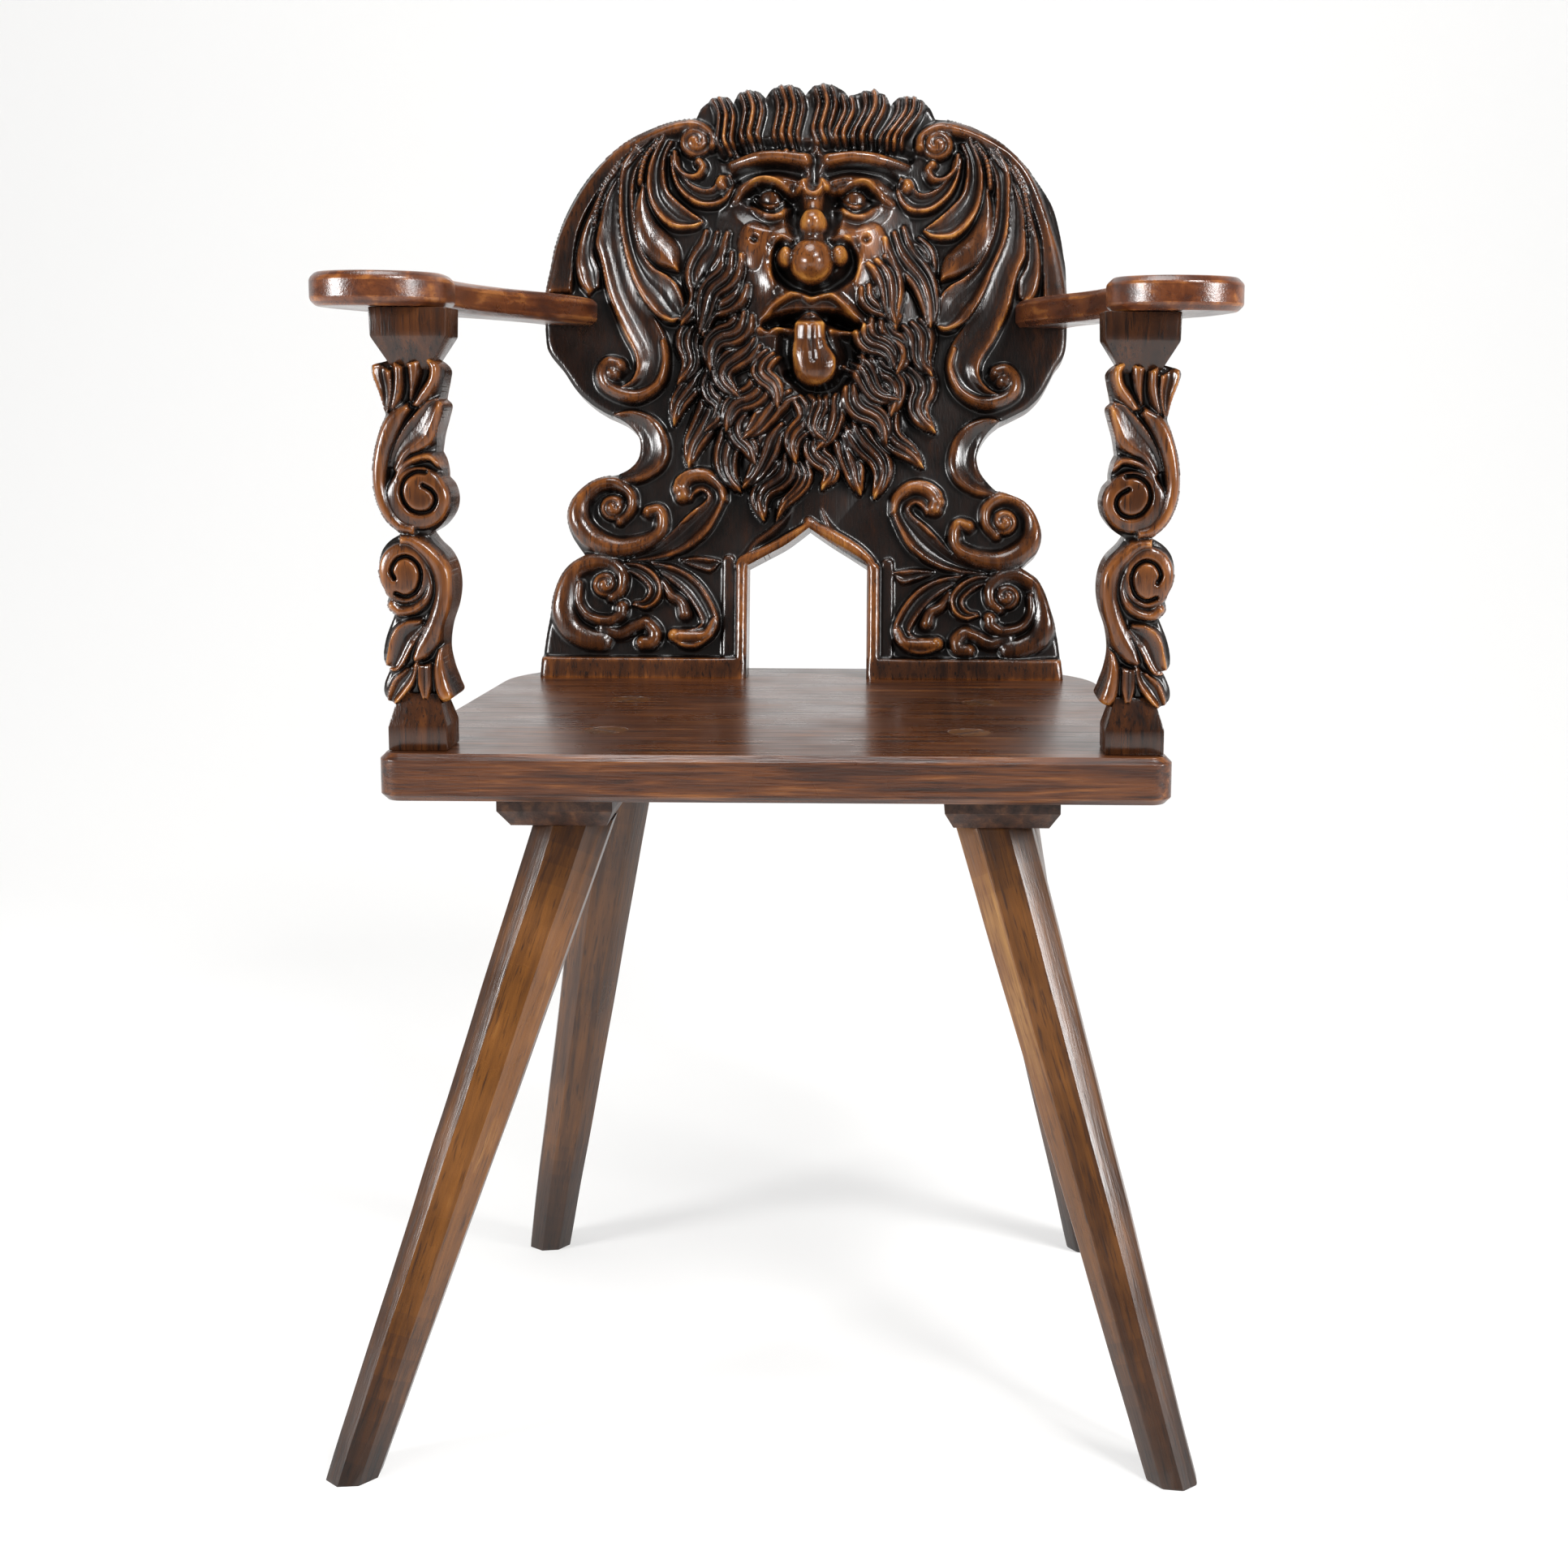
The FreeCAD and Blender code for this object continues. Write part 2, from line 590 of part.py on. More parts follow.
def right_key(grow=0.0, draw=0.0):
    """The tapered key that bears on the batten's underside; grown and raised, it cuts its slot."""
    bend = math.tan(math.radians(BACK_TILT)) * (SEAT_HEIGHT - BATTEN_UNDERSIDE)
    middle = BACK_SETBACK + BOARD_THICKNESS / 2 - bend
    front, rear = middle - KEY_LENGTH / 2, middle + KEY_LENGTH / 2
    low = BATTEN_UNDERSIDE - KEY_HEIGHT - grow
    left = BATTEN_X - KEY_WIDTH / 2 - grow
    profile = ring([
        Vector(left, front, BATTEN_UNDERSIDE + draw), Vector(left, rear, BATTEN_UNDERSIDE + draw),
        Vector(left, rear, low), Vector(left, front, low + KEY_TAPER),
    ])
    return Part.Face(profile).extrude(Vector(KEY_WIDTH + 2 * grow, 0, 0))


def back_board(arms, pegs):
    """The carved board, trimmed to the seat, tenoned, keyed and housed for the arms."""
    silhouette = board_silhouette()
    stock = silhouette.extrude(BACK * BOARD_THICKNESS)
    relief_room = silhouette.translated(BACK * -FAR / 10).extrude(BACK * (FAR / 10 + BOARD_THICKNESS))
    carved = stock.fuse([mask_dome()] + mask_features() + scrollwork() + arch_frame())
    carved = carved.common(relief_room).cut(keel_arch(0, -FAR / 10, FAR / 10))
    board = leaned(carved).cut(below(SEAT_HEIGHT))
    tenon = leaned(back_tenon(0)).cut(right_key(FIT, KEY_DRAW))
    rest = leaned(stock).cut(leaned(keel_arch(0, -FAR / 10, FAR / 10)))
    tenons = [piece.cut(above(SEAT_HEIGHT).cut(rest)) for piece in (tenon, mirrored(tenon))]
    return board.fuse(tenons).cut(arms + pegs)


# Arms, pegs and posts


def board_room(front):
    """Everything behind a plane parallel to the board's ground."""
    return leaned(box(Vector(-FAR, front, -FAR), Vector(FAR, FAR, FAR)))


def tangent_arc(start, heading, end):
    """An arc that leaves its start along a heading, with the heading at its end."""
    chord = end - start
    aside = UP.cross(heading)
    turn = 2 * math.atan2(chord.dot(aside), chord.dot(heading))
    centre = start + aside * (chord.dot(chord) / (2 * chord.dot(aside)))
    middle = centre + Rotation(UP, math.degrees(turn / 2)).multVec(start - centre)
    return Part.Arc(start, middle, end).toShape(), Rotation(UP, math.degrees(turn)).multVec(heading)


def s_bend(start, end, share):
    """Two arcs that carry a line sideways and set it straight again, meeting at a share of the way."""
    middle = start + (end - start) * share
    first, heading = tangent_arc(start, BACK, middle)
    return [first, tangent_arc(middle, heading, end)[0]]


def arm_notch():
    """The inner corner where the paddle meets the bar."""
    across = POST_X + PADDLE_OUTBOARD - PADDLE_WIDTH / 2 + PADDLE_NOTCH
    return Vector(across, PADDLE_LENGTH - PADDLE_OVERHANG, ARM_UNDERSIDE)


def arm_plan():
    """The right arm from above: a round paddle over the post and a bar that sweeps in to the back."""
    half = PADDLE_WIDTH / 2
    centre = Vector(POST_X + PADDLE_OUTBOARD, half - PADDLE_OVERHANG, ARM_UNDERSIDE)
    inner_side, outer_side = centre - Vector(half, 0, 0), centre + Vector(half, 0, 0)
    notch = arm_notch()
    lean = math.tan(math.radians(BACK_TILT))
    rear_y = BACK_SETBACK + (ARM_UNDERSIDE + ARM_THICKNESS - SEAT_HEIGHT) * lean + 2 * ARM_HOUSING
    rear_outer = Vector(ARM_REAR_REACH, rear_y, ARM_UNDERSIDE)
    rear_inner = rear_outer - Vector(ARM_WIDTH, 0, 0)
    front = Part.Arc(inner_side, centre - Vector(0, half, 0), outer_side).toShape()
    edges = [front, tangent_arc(inner_side, BACK, notch)[0], Part.makeLine(rear_inner, rear_outer)]
    edges += s_bend(notch, rear_inner, ARM_INNER_SHARE) + s_bend(outer_side, rear_outer, ARM_OUTER_SHARE)
    return outline(edges)


def right_arm():
    """A flat board with rounded edges, its rear end let into the back board."""
    arm = arm_plan().extrude(UP * ARM_THICKNESS)
    middle = arm_notch() + UP * (ARM_THICKNESS / 2)
    notch = [edge for edge in arm.Edges if edge.CenterOfMass.sub(middle).Length < FIT]
    arm = arm.makeFillet(NOTCH_ROUND, notch)
    rims = [edge for edge in arm.Edges if edge.BoundBox.ZLength < FIT]
    arm = arm.makeChamfer(ARM_EDGE_EASE, rims)
    return arm.cut([board_room(ARM_HOUSING), post_tenon_head(FIT)])


def right_peg():
    """The whittled eight-sided peg from behind the board into the arm's end, in its leaning place."""
    up = (ARM_UNDERSIDE + ARM_THICKNESS / 2 - SEAT_HEIGHT) / math.cos(math.radians(BACK_TILT))
    rear = Vector(ARM_REAR_REACH - ARM_WIDTH / 2, BOARD_THICKNESS + PEG_PROUD, up)
    turns = [math.pi / 8 + k * math.pi / 4 for k in range(8)]
    spokes = [Vector(math.cos(turn), 0, math.sin(turn)) * PEG_RADIUS for turn in turns]
    head = [rear + spoke for spoke in spokes]
    return leaned(prismatoid(head, [corner - BACK * PEG_LENGTH for corner in head]))


def post_tenon_head(grow):
    """The post's square upper tenon, or its blind mortise in the arm."""
    foot = Vector(POST_X, POST_Y, ARM_UNDERSIDE)
    half = Vector(POST_TENON_WIDTH / 2 + grow, POST_TENON_WIDTH / 2 + grow, 0)
    return box(foot - half, foot + half + UP * (POST_HEAD_TENON + grow))


def post_tenon_foot(grow):
    """The post's square lower tenon, or its blind mortise in the seat."""
    head = Vector(POST_X, POST_Y, SEAT_HEIGHT)
    half = Vector(POST_TENON_WIDTH / 2 + grow, POST_TENON_WIDTH / 2 + grow, 0)
    return box(head - half - UP * (POST_FOOT_TENON + grow), head + half)


# The post's carving, drawn on its own template as distances out from its axis and up from the seat
POST_WAIST = 135.5
LOWER_LOBES = [
    [(16, 30), (22.5, 40), (17, 52)], [(17, 52), (22, 63), (14.5, 85)], [(14.5, 85), (19, 94), (19, 101)],
    [(19, 101), (22.5, 118), (8.5, POST_WAIST)],
]
LOWER_INNER = [
    [(-16, 30), (-22, 38), (-16, 55)], [(-16, 55), (-16.5, 72), (-21.5, 90)],
    [(-21.5, 90), (-21, 116), (-7.5, POST_WAIST)],
]
UPPER_LOBES = [
    [(8.5, POST_WAIST), (22, 150), (24, 180)], [(24, 180), (18.5, 200), (17.5, 215)],
    [(17.5, 215), (20, 227), (23, 240)],
]
UPPER_INNER = [
    [(-7.5, POST_WAIST), (-22.5, 152), (-17, 170)], [(-17, 170), (-16.5, 178), (-13.3, 186)],
    [(-13.3, 186), (-15.2, 200), (-19.5, 214)], [(-19.5, 214), (-19, 227), (-18, 240)],
]
POST_STROKES = [
    Stroke([(14, 192), (19, 170), (12, 148)] + spiral((-4, 159), -60, -SPIRAL_TURNS, 17, 9),
           5, 3, POST_CARVING_PROUD),
    Stroke([(-8, 58), (-15, 80), (-18, 100)] + spiral((4, 112), 180, -SPIRAL_TURNS, 19, 9),
           5, 3, POST_CARVING_PROUD),
    Stroke([(-14, 230), (-9, 212), (0, 196), (8, 180)], 5, 3, POST_CARVING_PROUD),
    Stroke([(17, 42), (11, 58), (2, 74), (-4, 88)], 5, 3, POST_CARVING_PROUD),
]
POST_EYES = [Boss(-4, 159, 8, 4), Boss(5, 112, 8, 4)]
TEMPLATE_POST_FOOT = LOWER_LOBES[0][0][1]
TEMPLATE_POST_HEAD = UPPER_LOBES[-1][-1][1]


def on_post(out, up):
    """A point of the post's template, stretched between its block and its cap."""
    foot = POST_BLOCK_HEIGHT + POST_BLOCK_SLOPE - POST_BODY_LAP
    head = POST_HEIGHT - POST_CAP_HEIGHT - POST_CAP_SLOPE
    share = (up - TEMPLATE_POST_FOOT) / (TEMPLATE_POST_HEAD - TEMPLATE_POST_FOOT)
    return Vector(out, 0, foot + share * (head - foot))


def lobed_body(outer, inner):
    """A scroll body whose edges are runs of leaf lobes, each an arc."""
    edges = [Part.Arc(*[on_post(*point) for point in lobe]).toShape() for lobe in outer + inner]
    for end in (0, -1):
        edges.append(Part.makeLine(on_post(*outer[end][end]), on_post(*inner[end][end])))
    face = outline(edges).translated(BACK * (-POST_BODY_DEPTH / 2))
    return face.extrude(BACK * POST_BODY_DEPTH)


def rectangle(width, depth, height):
    """A level rectangle about the post's axis."""
    corners = [(-width, -depth), (width, -depth), (width, depth), (-width, depth)]
    return [Vector(x / 2, y / 2, height) for x, y in corners]


def right_post():
    """Block, two scroll bodies that meet at a waist, and a flared cap, with volutes on its face."""
    cap_low = POST_HEIGHT - POST_CAP_HEIGHT
    block = rectangle(POST_BLOCK_WIDTH, POST_BLOCK_DEPTH, POST_BLOCK_HEIGHT)
    neck_low = rectangle(POST_NECK_WIDTH, POST_NECK_DEPTH, POST_BLOCK_HEIGHT + POST_BLOCK_SLOPE)
    cap = rectangle(POST_CAP_WIDTH, POST_CAP_DEPTH, cap_low)
    pieces = [
        prismatoid(rectangle(POST_BLOCK_WIDTH, POST_BLOCK_DEPTH, 0), block),
        prismatoid(block, neck_low),
        lobed_body(UPPER_LOBES, UPPER_INNER),
        prismatoid(rectangle(POST_NECK_WIDTH, POST_NECK_DEPTH, cap_low - POST_CAP_SLOPE), cap),
        prismatoid(cap, rectangle(POST_CAP_WIDTH, POST_CAP_DEPTH, POST_HEIGHT)),
    ]

    def face_height(point):
        return POST_BODY_DEPTH / 2

    carving = [ridge(stroke, on_post, face_height, SCROLL_GAP) for stroke in POST_STROKES]
    carving += [knob(eye, on_post, face_height) for eye in POST_EYES]
    body = lobed_body(LOWER_LOBES, LOWER_INNER).fuse(pieces + carving)
    placed = body.translated(Vector(POST_X, POST_Y, SEAT_HEIGHT))
    return placed.fuse([post_tenon_foot(0), post_tenon_head(0)]).removeSplitter()


def build():
    """Every piece by its node's name, in place."""
    legs = {name: Leg(stance) for name, stance in LEG_STANCES.items()}
    leg_holes = [leg.tenon(FIT) for leg in legs.values()]
    mortise = leaned(back_tenon(FIT))
    post_hole = post_tenon_foot(FIT)
    through = leg_holes + [mortise, mirrored(mortise)]
    arm, peg = right_arm(), right_peg()
    arms, pegs = [mirrored(arm), arm], [mirrored(peg), peg]
    arms = [piece.cut(pin) for piece, pin in zip(arms, pegs)]
    batten = right_batten()
    post, key = right_post(), right_key()
    nodes = {
        "seat_plank": seat_plank(through + [post_hole, mirrored(post_hole)]),
        "left_batten": mirrored(batten).cut(through),
        "right_batten": batten.cut(through),
        "back_board": back_board(arms, pegs),
        "left_back_key": mirrored(key),
        "right_back_key": key,
        "left_arm": arms[0],
        "right_arm": arms[1],
        "left_arm_peg": pegs[0],
        "right_arm_peg": pegs[1],
        "left_arm_post": mirrored(post),
        "right_arm_post": post,
    }
    for name, leg in legs.items():
        nodes[name + "_leg"] = leg.solid()
        nodes[name + "_leg_wedge"] = leg.wedge()
    return nodes


def centred(nodes):
    """The chair slid so that the origin is on the floor, in the middle of its width and depth."""
    whole = FreeCAD.BoundBox()
    for shape in nodes.values():
        whole.add(shape.optimalBoundingBox(False, False))
    slide = Vector(-whole.Center.x, -whole.Center.y, -whole.ZMin)
    return {name: shape.translated(slide) for name, shape in nodes.items()}


os.makedirs("parts", exist_ok=True)
for name, shape in centred(build()).items():
    shape.exportStep("parts/" + name + ".step")
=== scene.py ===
import math

import bmesh
import bpy
import numpy as np
from mathutils import Matrix, Vector


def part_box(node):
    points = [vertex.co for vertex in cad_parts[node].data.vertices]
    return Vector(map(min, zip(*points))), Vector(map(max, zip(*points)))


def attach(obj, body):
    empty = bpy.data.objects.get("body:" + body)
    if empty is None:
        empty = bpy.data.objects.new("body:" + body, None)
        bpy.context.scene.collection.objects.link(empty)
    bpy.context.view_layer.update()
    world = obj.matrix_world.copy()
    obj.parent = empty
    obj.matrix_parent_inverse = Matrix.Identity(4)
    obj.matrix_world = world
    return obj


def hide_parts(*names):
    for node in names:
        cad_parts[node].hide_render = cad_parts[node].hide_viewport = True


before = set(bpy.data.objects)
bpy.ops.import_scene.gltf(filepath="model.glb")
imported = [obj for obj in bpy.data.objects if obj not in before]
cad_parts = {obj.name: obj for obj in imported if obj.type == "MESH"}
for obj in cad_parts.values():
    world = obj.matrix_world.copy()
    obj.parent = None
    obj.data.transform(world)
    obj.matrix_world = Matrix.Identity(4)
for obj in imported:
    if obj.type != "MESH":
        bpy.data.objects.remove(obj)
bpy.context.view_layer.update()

# Battens: two chamfered walnut bars, dovetailed from behind into the underside of the seat.
# They hold the plank flat and carry the legs. Planed by hand, never polished, dark with age.


def colour(text):
    """A linear colour from an sRGB hex value."""
    parts = [int(text[k:k + 2], 16) / 255 for k in (1, 3, 5)]
    return [p / 12.92 if p <= 0.04045 else ((p + 0.055) / 1.055) ** 2.4 for p in parts] + [1.0]


def node(tree, kind, inputs, **settings):
    """Adds a node with its settings; an input is a value or another node's output."""
    added = tree.nodes.new(kind)
    for name, value in settings.items():
        setattr(added, name, value)
    for name, value in inputs.items():
        if isinstance(value, bpy.types.NodeSocket):
            tree.links.new(value, added.inputs[name])
        else:
            added.inputs[name].default_value = value
    return added


def ramp(tree, factor, stops):
    """A colour that runs through hex stops as its factor goes from 0 to 1."""
    added = node(tree, "ShaderNodeValToRGB", {"Fac": factor})
    elements = added.color_ramp.elements
    while len(elements) < len(stops):
        elements.new(0.5)
    for element, (place, text) in zip(elements, stops):
        element.position = place
        element.color = colour(text)
    return added.outputs["Color"]


def walnut(name, stops, along, figure_mm, roughness, coat, tone=None, grain=None):
    """Old walnut under wax: long figure and short pores along the grain, glossy where hands have rubbed it.

    The figure is figure_mm wide and runs twenty times as far along the grain. Pores are drawn 1.4 mm wide,
    about four times their real width, so that they show. Attributes of the piece can set how dark each place
    is (tone) and where it lies in the timber (grain).
    """
    pore_mm, patch_mm = 1.4, 60
    material = bpy.data.materials.new(name)
    material.use_nodes = True
    tree = material.node_tree
    tree.nodes.clear()

    def attribute(title, output):
        return node(tree, "ShaderNodeAttribute", {}, attribute_name=title).outputs[output]

    def streaks(width_mm, length, detail, seed):
        scale = [1000 / width_mm] * 3
        scale[along] = 1000 / (width_mm * length)
        turned = node(tree, "ShaderNodeMapping",
                      {"Vector": place, "Scale": scale, "Location": (seed, seed, seed)})
        streak = node(tree, "ShaderNodeTexNoise",
                      {"Vector": turned.outputs[0], "Scale": 1.0, "Detail": detail,
                                                   "Roughness": 0.55, "Distortion": 0.4})
        return streak.outputs["Fac"]

    def spread(value, low, high, start, end):
        """A value between low and high, carried over to the range from start to end."""
        return node(tree, "ShaderNodeMapRange", {"Value": value, "From Min": low, "From Max": high,
                                                 "To Min": start, "To Max": end}).outputs[0]

    def total(first, second, **settings):
        return node(tree, "ShaderNodeMath", {0: first, 1: second}, **settings).outputs[0]

    place = attribute(grain, "Vector") if grain else node(tree, "ShaderNodeTexCoord", {}).outputs["Object"]
    figure = streaks(figure_mm, 20, 3.0, 1.7)
    pores = streaks(pore_mm, 14, 2.0, 4.2)
    patches = node(tree, "ShaderNodeTexNoise",
                   {"Vector": place, "Scale": 1000 / patch_mm, "Detail": 3.0}).outputs["Fac"]
    if tone:
        shade = total(attribute(tone, "Fac"), spread(figure, 0.25, 0.75, -0.12, 0.12))
    else:
        shade = spread(figure, 0.25, 0.75, 0, 1)
    shade = total(shade, spread(patches, 0.3, 0.7, -0.08, 0.08))
    shade = total(shade, attribute("edge", "Fac"))
    shade = total(shade, spread(pores, 0.56, 0.68, 0, -0.16), use_clamp=True)
    rough = spread(patches, 0.3, 0.7, roughness - 0.07, roughness + 0.09)
    dusty = total(rough, spread(shade, 0.1, 0.4, 0.08, 0))
    bump = node(tree, "ShaderNodeBump",
                {"Height": total(pores, figure), "Strength": 0.18, "Distance": 0.0012})
    shader = node(tree, "ShaderNodeBsdfPrincipled", {
        "Base Color": ramp(tree, shade, stops), "Roughness": dusty, "Normal": bump.outputs[0], "IOR": 1.5,
        "Coat Weight": coat, "Coat Roughness": 0.16})
    node(tree, "ShaderNodeOutputMaterial", {"Surface": shader.outputs[0]})
    return material


def linked(name, data):
    """An object of the scene with the given mesh, lamp or camera."""
    made = bpy.data.objects.new(name, data)
    bpy.context.scene.collection.objects.link(made)
    return made


def rounded(form, arrises, radius_mm, segments):
    """Wears arrises round and gives the new faces."""
    return bmesh.ops.bevel(form, geom=arrises, offset=radius_mm / 1000, segments=segments, profile=0.5,
                           affect="EDGES", clamp_overlap=True)["faces"]


def settled(name, form, sharp):
    """A piece from a finished form, smooth but for edges that turn by more than so many degrees."""
    mesh = bpy.data.meshes.new(name)
    form.to_mesh(mesh)
    form.free()
    mesh.shade_smooth()
    mesh.set_sharp_from_angle(angle=math.radians(sharp))
    return linked(name, mesh)


def softened(name, node_name, radius_mm):
    """A copy of a piece's solid with its arrises worn round and rubbed lighter. Flat faces stay flat."""
    rubbed_tone = 0.2
    form = bmesh.new()
    form.from_mesh(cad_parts[node_name].data)
    bmesh.ops.remove_doubles(form, verts=form.verts, dist=1e-6)
    bmesh.ops.dissolve_limit(form, angle_limit=math.radians(1), verts=form.verts, edges=form.edges)
    lighter = form.faces.layers.float.new("edge")
    arrises = [edge for edge in form.edges if edge.is_manifold and edge.calc_face_angle() > math.radians(24)]
    for face in rounded(form, arrises, radius_mm, 3):
        face[lighter] = rubbed_tone
    bmesh.ops.recalc_face_normals(form, faces=form.faces)
    piece = settled(name, form, 40)
    flats = piece.modifiers.new("flats_stay_flat", "WEIGHTED_NORMAL")
    flats.keep_sharp = True
    graph = bpy.context.evaluated_depsgraph_get()
    worn = bpy.data.meshes.new_from_object(piece.evaluated_get(graph))
    piece.modifiers.remove(flats)
    piece.data = worn
    return piece


def fitted(piece, material, slot, *nodes):
    """Gives a finished piece its material and its place in the chair."""
    piece.data.materials.clear()
    piece.data.materials.append(material)
    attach(piece, "root")
    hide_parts(*nodes)


# Dry walnut: open pores and no polish give a dull brown that hardly shines
underside_walnut = walnut(
    "unpolished_walnut", [(0.0, "#1a0d07"), (0.5, "#3a2114"), (1.0, "#5c3a22")],
    along=1, figure_mm=7, roughness=0.55, coat=0.0)
for side in ("left", "right"):
    fitted(softened(side + "_seat_batten", side + "_batten", 1.2), underside_walnut, "underside_walnut",
           side + "_batten")

# Seat: one wide walnut plank with the grain running from side to side, tapering to the back.
# Its edges are worn round, and long use has polished its top.

# Waxed walnut: a dark red-brown with long streaks, and broad soft reflections where it is rubbed
seat_walnut = walnut(
    "waxed_seat_walnut", [(0.0, "#1c0d05"), (0.35, "#35190a"), (0.7, "#522c12"), (1.0, "#744620")],
    along=0, figure_mm=4, roughness=0.28, coat=0.15)
fitted(softened("plank_seat", "seat_plank", 2.4), seat_walnut, "seat_walnut", "seat_plank")

# Legs: four eight-sided walnut legs, planed by hand from thick ends to thin feet and bored in by eye.
# Each ends in a round tenon that goes through batten and seat and is spread by a wedge from above.
# Sizes are across the flats. A bar is made over long by LEG_SPARE_MM at each end and sawn off.
LEG_TOP_MM = 49.0
LEG_FOOT_MM = 30.0
FOOT_WORN_MM = 0.2
LEG_SPARE_MM = 40.0
LEG_WAVE_MM = 2.2
LEG_ARRIS_MM = 1.6
LEG_TENON_MM = 28.0
LEG_TENON_LENGTH_MM = 120.0
TENON_SUNK_MM = 0.3
BATTEN_UNDERSIDE_MM = 385.0
SEAT_TOP_MM = 440.0
FRONT_EDGE_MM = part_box("seat_plank")[0].y * 1000
# Where each leg stands and where it enters its batten, across and back from the middle of the seat's front
LEG_STANCES = {
    "front_left": ((-257.0, -60.0), (-136.0, 76.0)),
    "front_right": ((248.0, -60.0), (139.0, 76.0)),
    "rear_left": ((-195.0, 286.0), (-129.0, 238.0)),
    "rear_right": ((226.0, 286.0), (147.0, 232.0)),
}
# Handled walnut: tan on the flats that face the light, where the finish has gone and a highlight is painted
# on; dark in the grain and at the feet, with painted shade just under the battens
leg_walnut = walnut(
    "rubbed_leg_walnut_painted_highlight", [(0.0, "#150a05"), (0.3, "#38200f"), (0.6, "#694018"), (1.0, "#b78a4c")],
    along=2, figure_mm=5, roughness=0.3, coat=0.15, tone="tone", grain="grain")
# Flats that face the light, worn by hands and painted lighter as a highlight: the way those flats face, and
# how much from the foot up
LIT_AND_RUBBED_FLATS = {
    "front_left": ((0.45, -0.89, 0), [0.0, 0.18, 0.32, 0.26, 0.05]),
    "front_right": ((-0.85, -0.53, 0), [0.0, 0.1, 0.18, 0.3, 0.3]),
    "rear_left": ((0.3, -0.95, 0), [0.0, 0.05, 0.05, 0.05, 0.0]),
    "rear_right": ((-0.3, -0.95, 0), [0.0, 0.05, 0.05, 0.05, 0.0]),
}
# How dark a leg is, and how that changes by height in metres: darker towards the foot, painted shade just
# under the batten, lighter where the tenon's end is handled
LEG_TONE = 0.36
LEG_FOOT_AND_SHADE_BY_HEIGHT = ([0, 0.03, 0.1, 0.34, 0.38, 0.43], [-0.26, -0.18, 0, 0, -0.1, 0.05])


def leg_tree():
    """The rule of a leg: an eight-sided bar that tapers to the foot, with a planed, wavy face."""
    tree = bpy.data.node_groups.new("planed_leg", "GeometryNodeTree")
    sockets = {"Foot": "Vector", "Top": "Vector", "Foot Across": "Float", "Top Across": "Float",
               "Sides": "Int",
               "Turn": "Float", "Waviness": "Float", "Seed": "Float", "Material": "Material"}
    for name, kind in sockets.items():
        tree.interface.new_socket(name, in_out="INPUT", socket_type="NodeSocket" + kind)
    tree.interface.new_socket("Geometry", in_out="OUTPUT", socket_type="NodeSocketGeometry")
    given = node(tree, "NodeGroupInput", {}).outputs
    axis = node(tree, "GeometryNodeCurvePrimitiveLine", {"Start": given["Foot"], "End": given["Top"]})
    axis = node(tree, "GeometryNodeResampleCurve", {"Curve": axis.outputs[0], "Count": 40})
    axis = node(tree, "GeometryNodeSetCurveTilt", {"Curve": axis.outputs[0], "Tilt": given["Turn"]})
    share = node(tree, "GeometryNodeSplineParameter", {}).outputs["Factor"]
    wide = node(tree, "ShaderNodeMapRange", {"Value": share, "To Min": given["Foot Across"],
                                             "To Max": given["Top Across"]}).outputs[0]
    section = node(tree, "GeometryNodeCurvePrimitiveCircle", {"Resolution": given["Sides"],
                                                              "Radius": 0.5 / math.cos(math.pi / 8)})
    bar = node(tree, "GeometryNodeCurveToMesh",
               {"Curve": axis.outputs[0], "Profile Curve": section.outputs[0],
                                                 "Scale": wide, "Fill Caps": True})
    spot = node(tree, "GeometryNodeInputPosition", {}).outputs[0]
    wave = node(tree, "ShaderNodeTexNoise",
                {"Vector": spot, "W": given["Seed"], "Scale": 11.0, "Detail": 1.0},
                noise_dimensions="4D").outputs["Color"]
    wave = node(tree, "ShaderNodeVectorMath", {0: wave, 1: (0.5, 0.5, 0.5)}, operation="SUBTRACT").outputs[0]
    wave = node(tree, "ShaderNodeVectorMath", {0: wave, "Scale": given["Waviness"]},
                operation="SCALE").outputs[0]
    bar = node(tree, "GeometryNodeSetPosition", {"Geometry": bar.outputs[0], "Offset": wave})
    bar = node(tree, "GeometryNodeRealizeInstances", {"Geometry": bar.outputs[0]})
    bar = node(tree, "GeometryNodeSetMaterial", {"Geometry": bar.outputs[0], "Material": given["Material"]})
    node(tree, "NodeGroupOutput", {"Geometry": bar.outputs[0]})
    return tree


def grown(tree, name, sizes):
    """A plain mesh from a tree and its named sizes."""
    holder = linked(name, bpy.data.meshes.new(name + "_seed"))
    modifier = holder.modifiers.new("rule", "NODES")
    modifier.node_group = tree
    identifiers = {item.name: item.identifier for item in tree.interface.items_tree if item.in_out == "INPUT"}
    for size, value in sizes.items():
        modifier[identifiers[size]] = value
    graph = bpy.context.evaluated_depsgraph_get()
    mesh = bpy.data.meshes.new_from_object(holder.evaluated_get(graph))
    holder.modifiers.remove(modifier)
    bpy.data.objects.remove(holder)
    return mesh


def cut_off(form, height_mm, away):
    """Saws a form level, drops what lies above the cut (away 1) or below it (-1), and closes the form."""
    bmesh.ops.bisect_plane(form, geom=form.verts[:] + form.edges[:] + form.faces[:], dist=1e-5,
                           plane_co=(0, 0, height_mm / 1000), plane_no=(0, 0, away), clear_outer=True)
    bmesh.ops.holes_fill(form, edges=[edge for edge in form.edges if edge.is_boundary])


def mark(mesh, name, kind, domain, values):
    """Gives each point or face of a mesh a named value of its own."""
    field = "vector" if kind == "FLOAT_VECTOR" else "value"
    mesh.attributes.new(name, kind, domain).data.foreach_set(field, np.ravel(values))


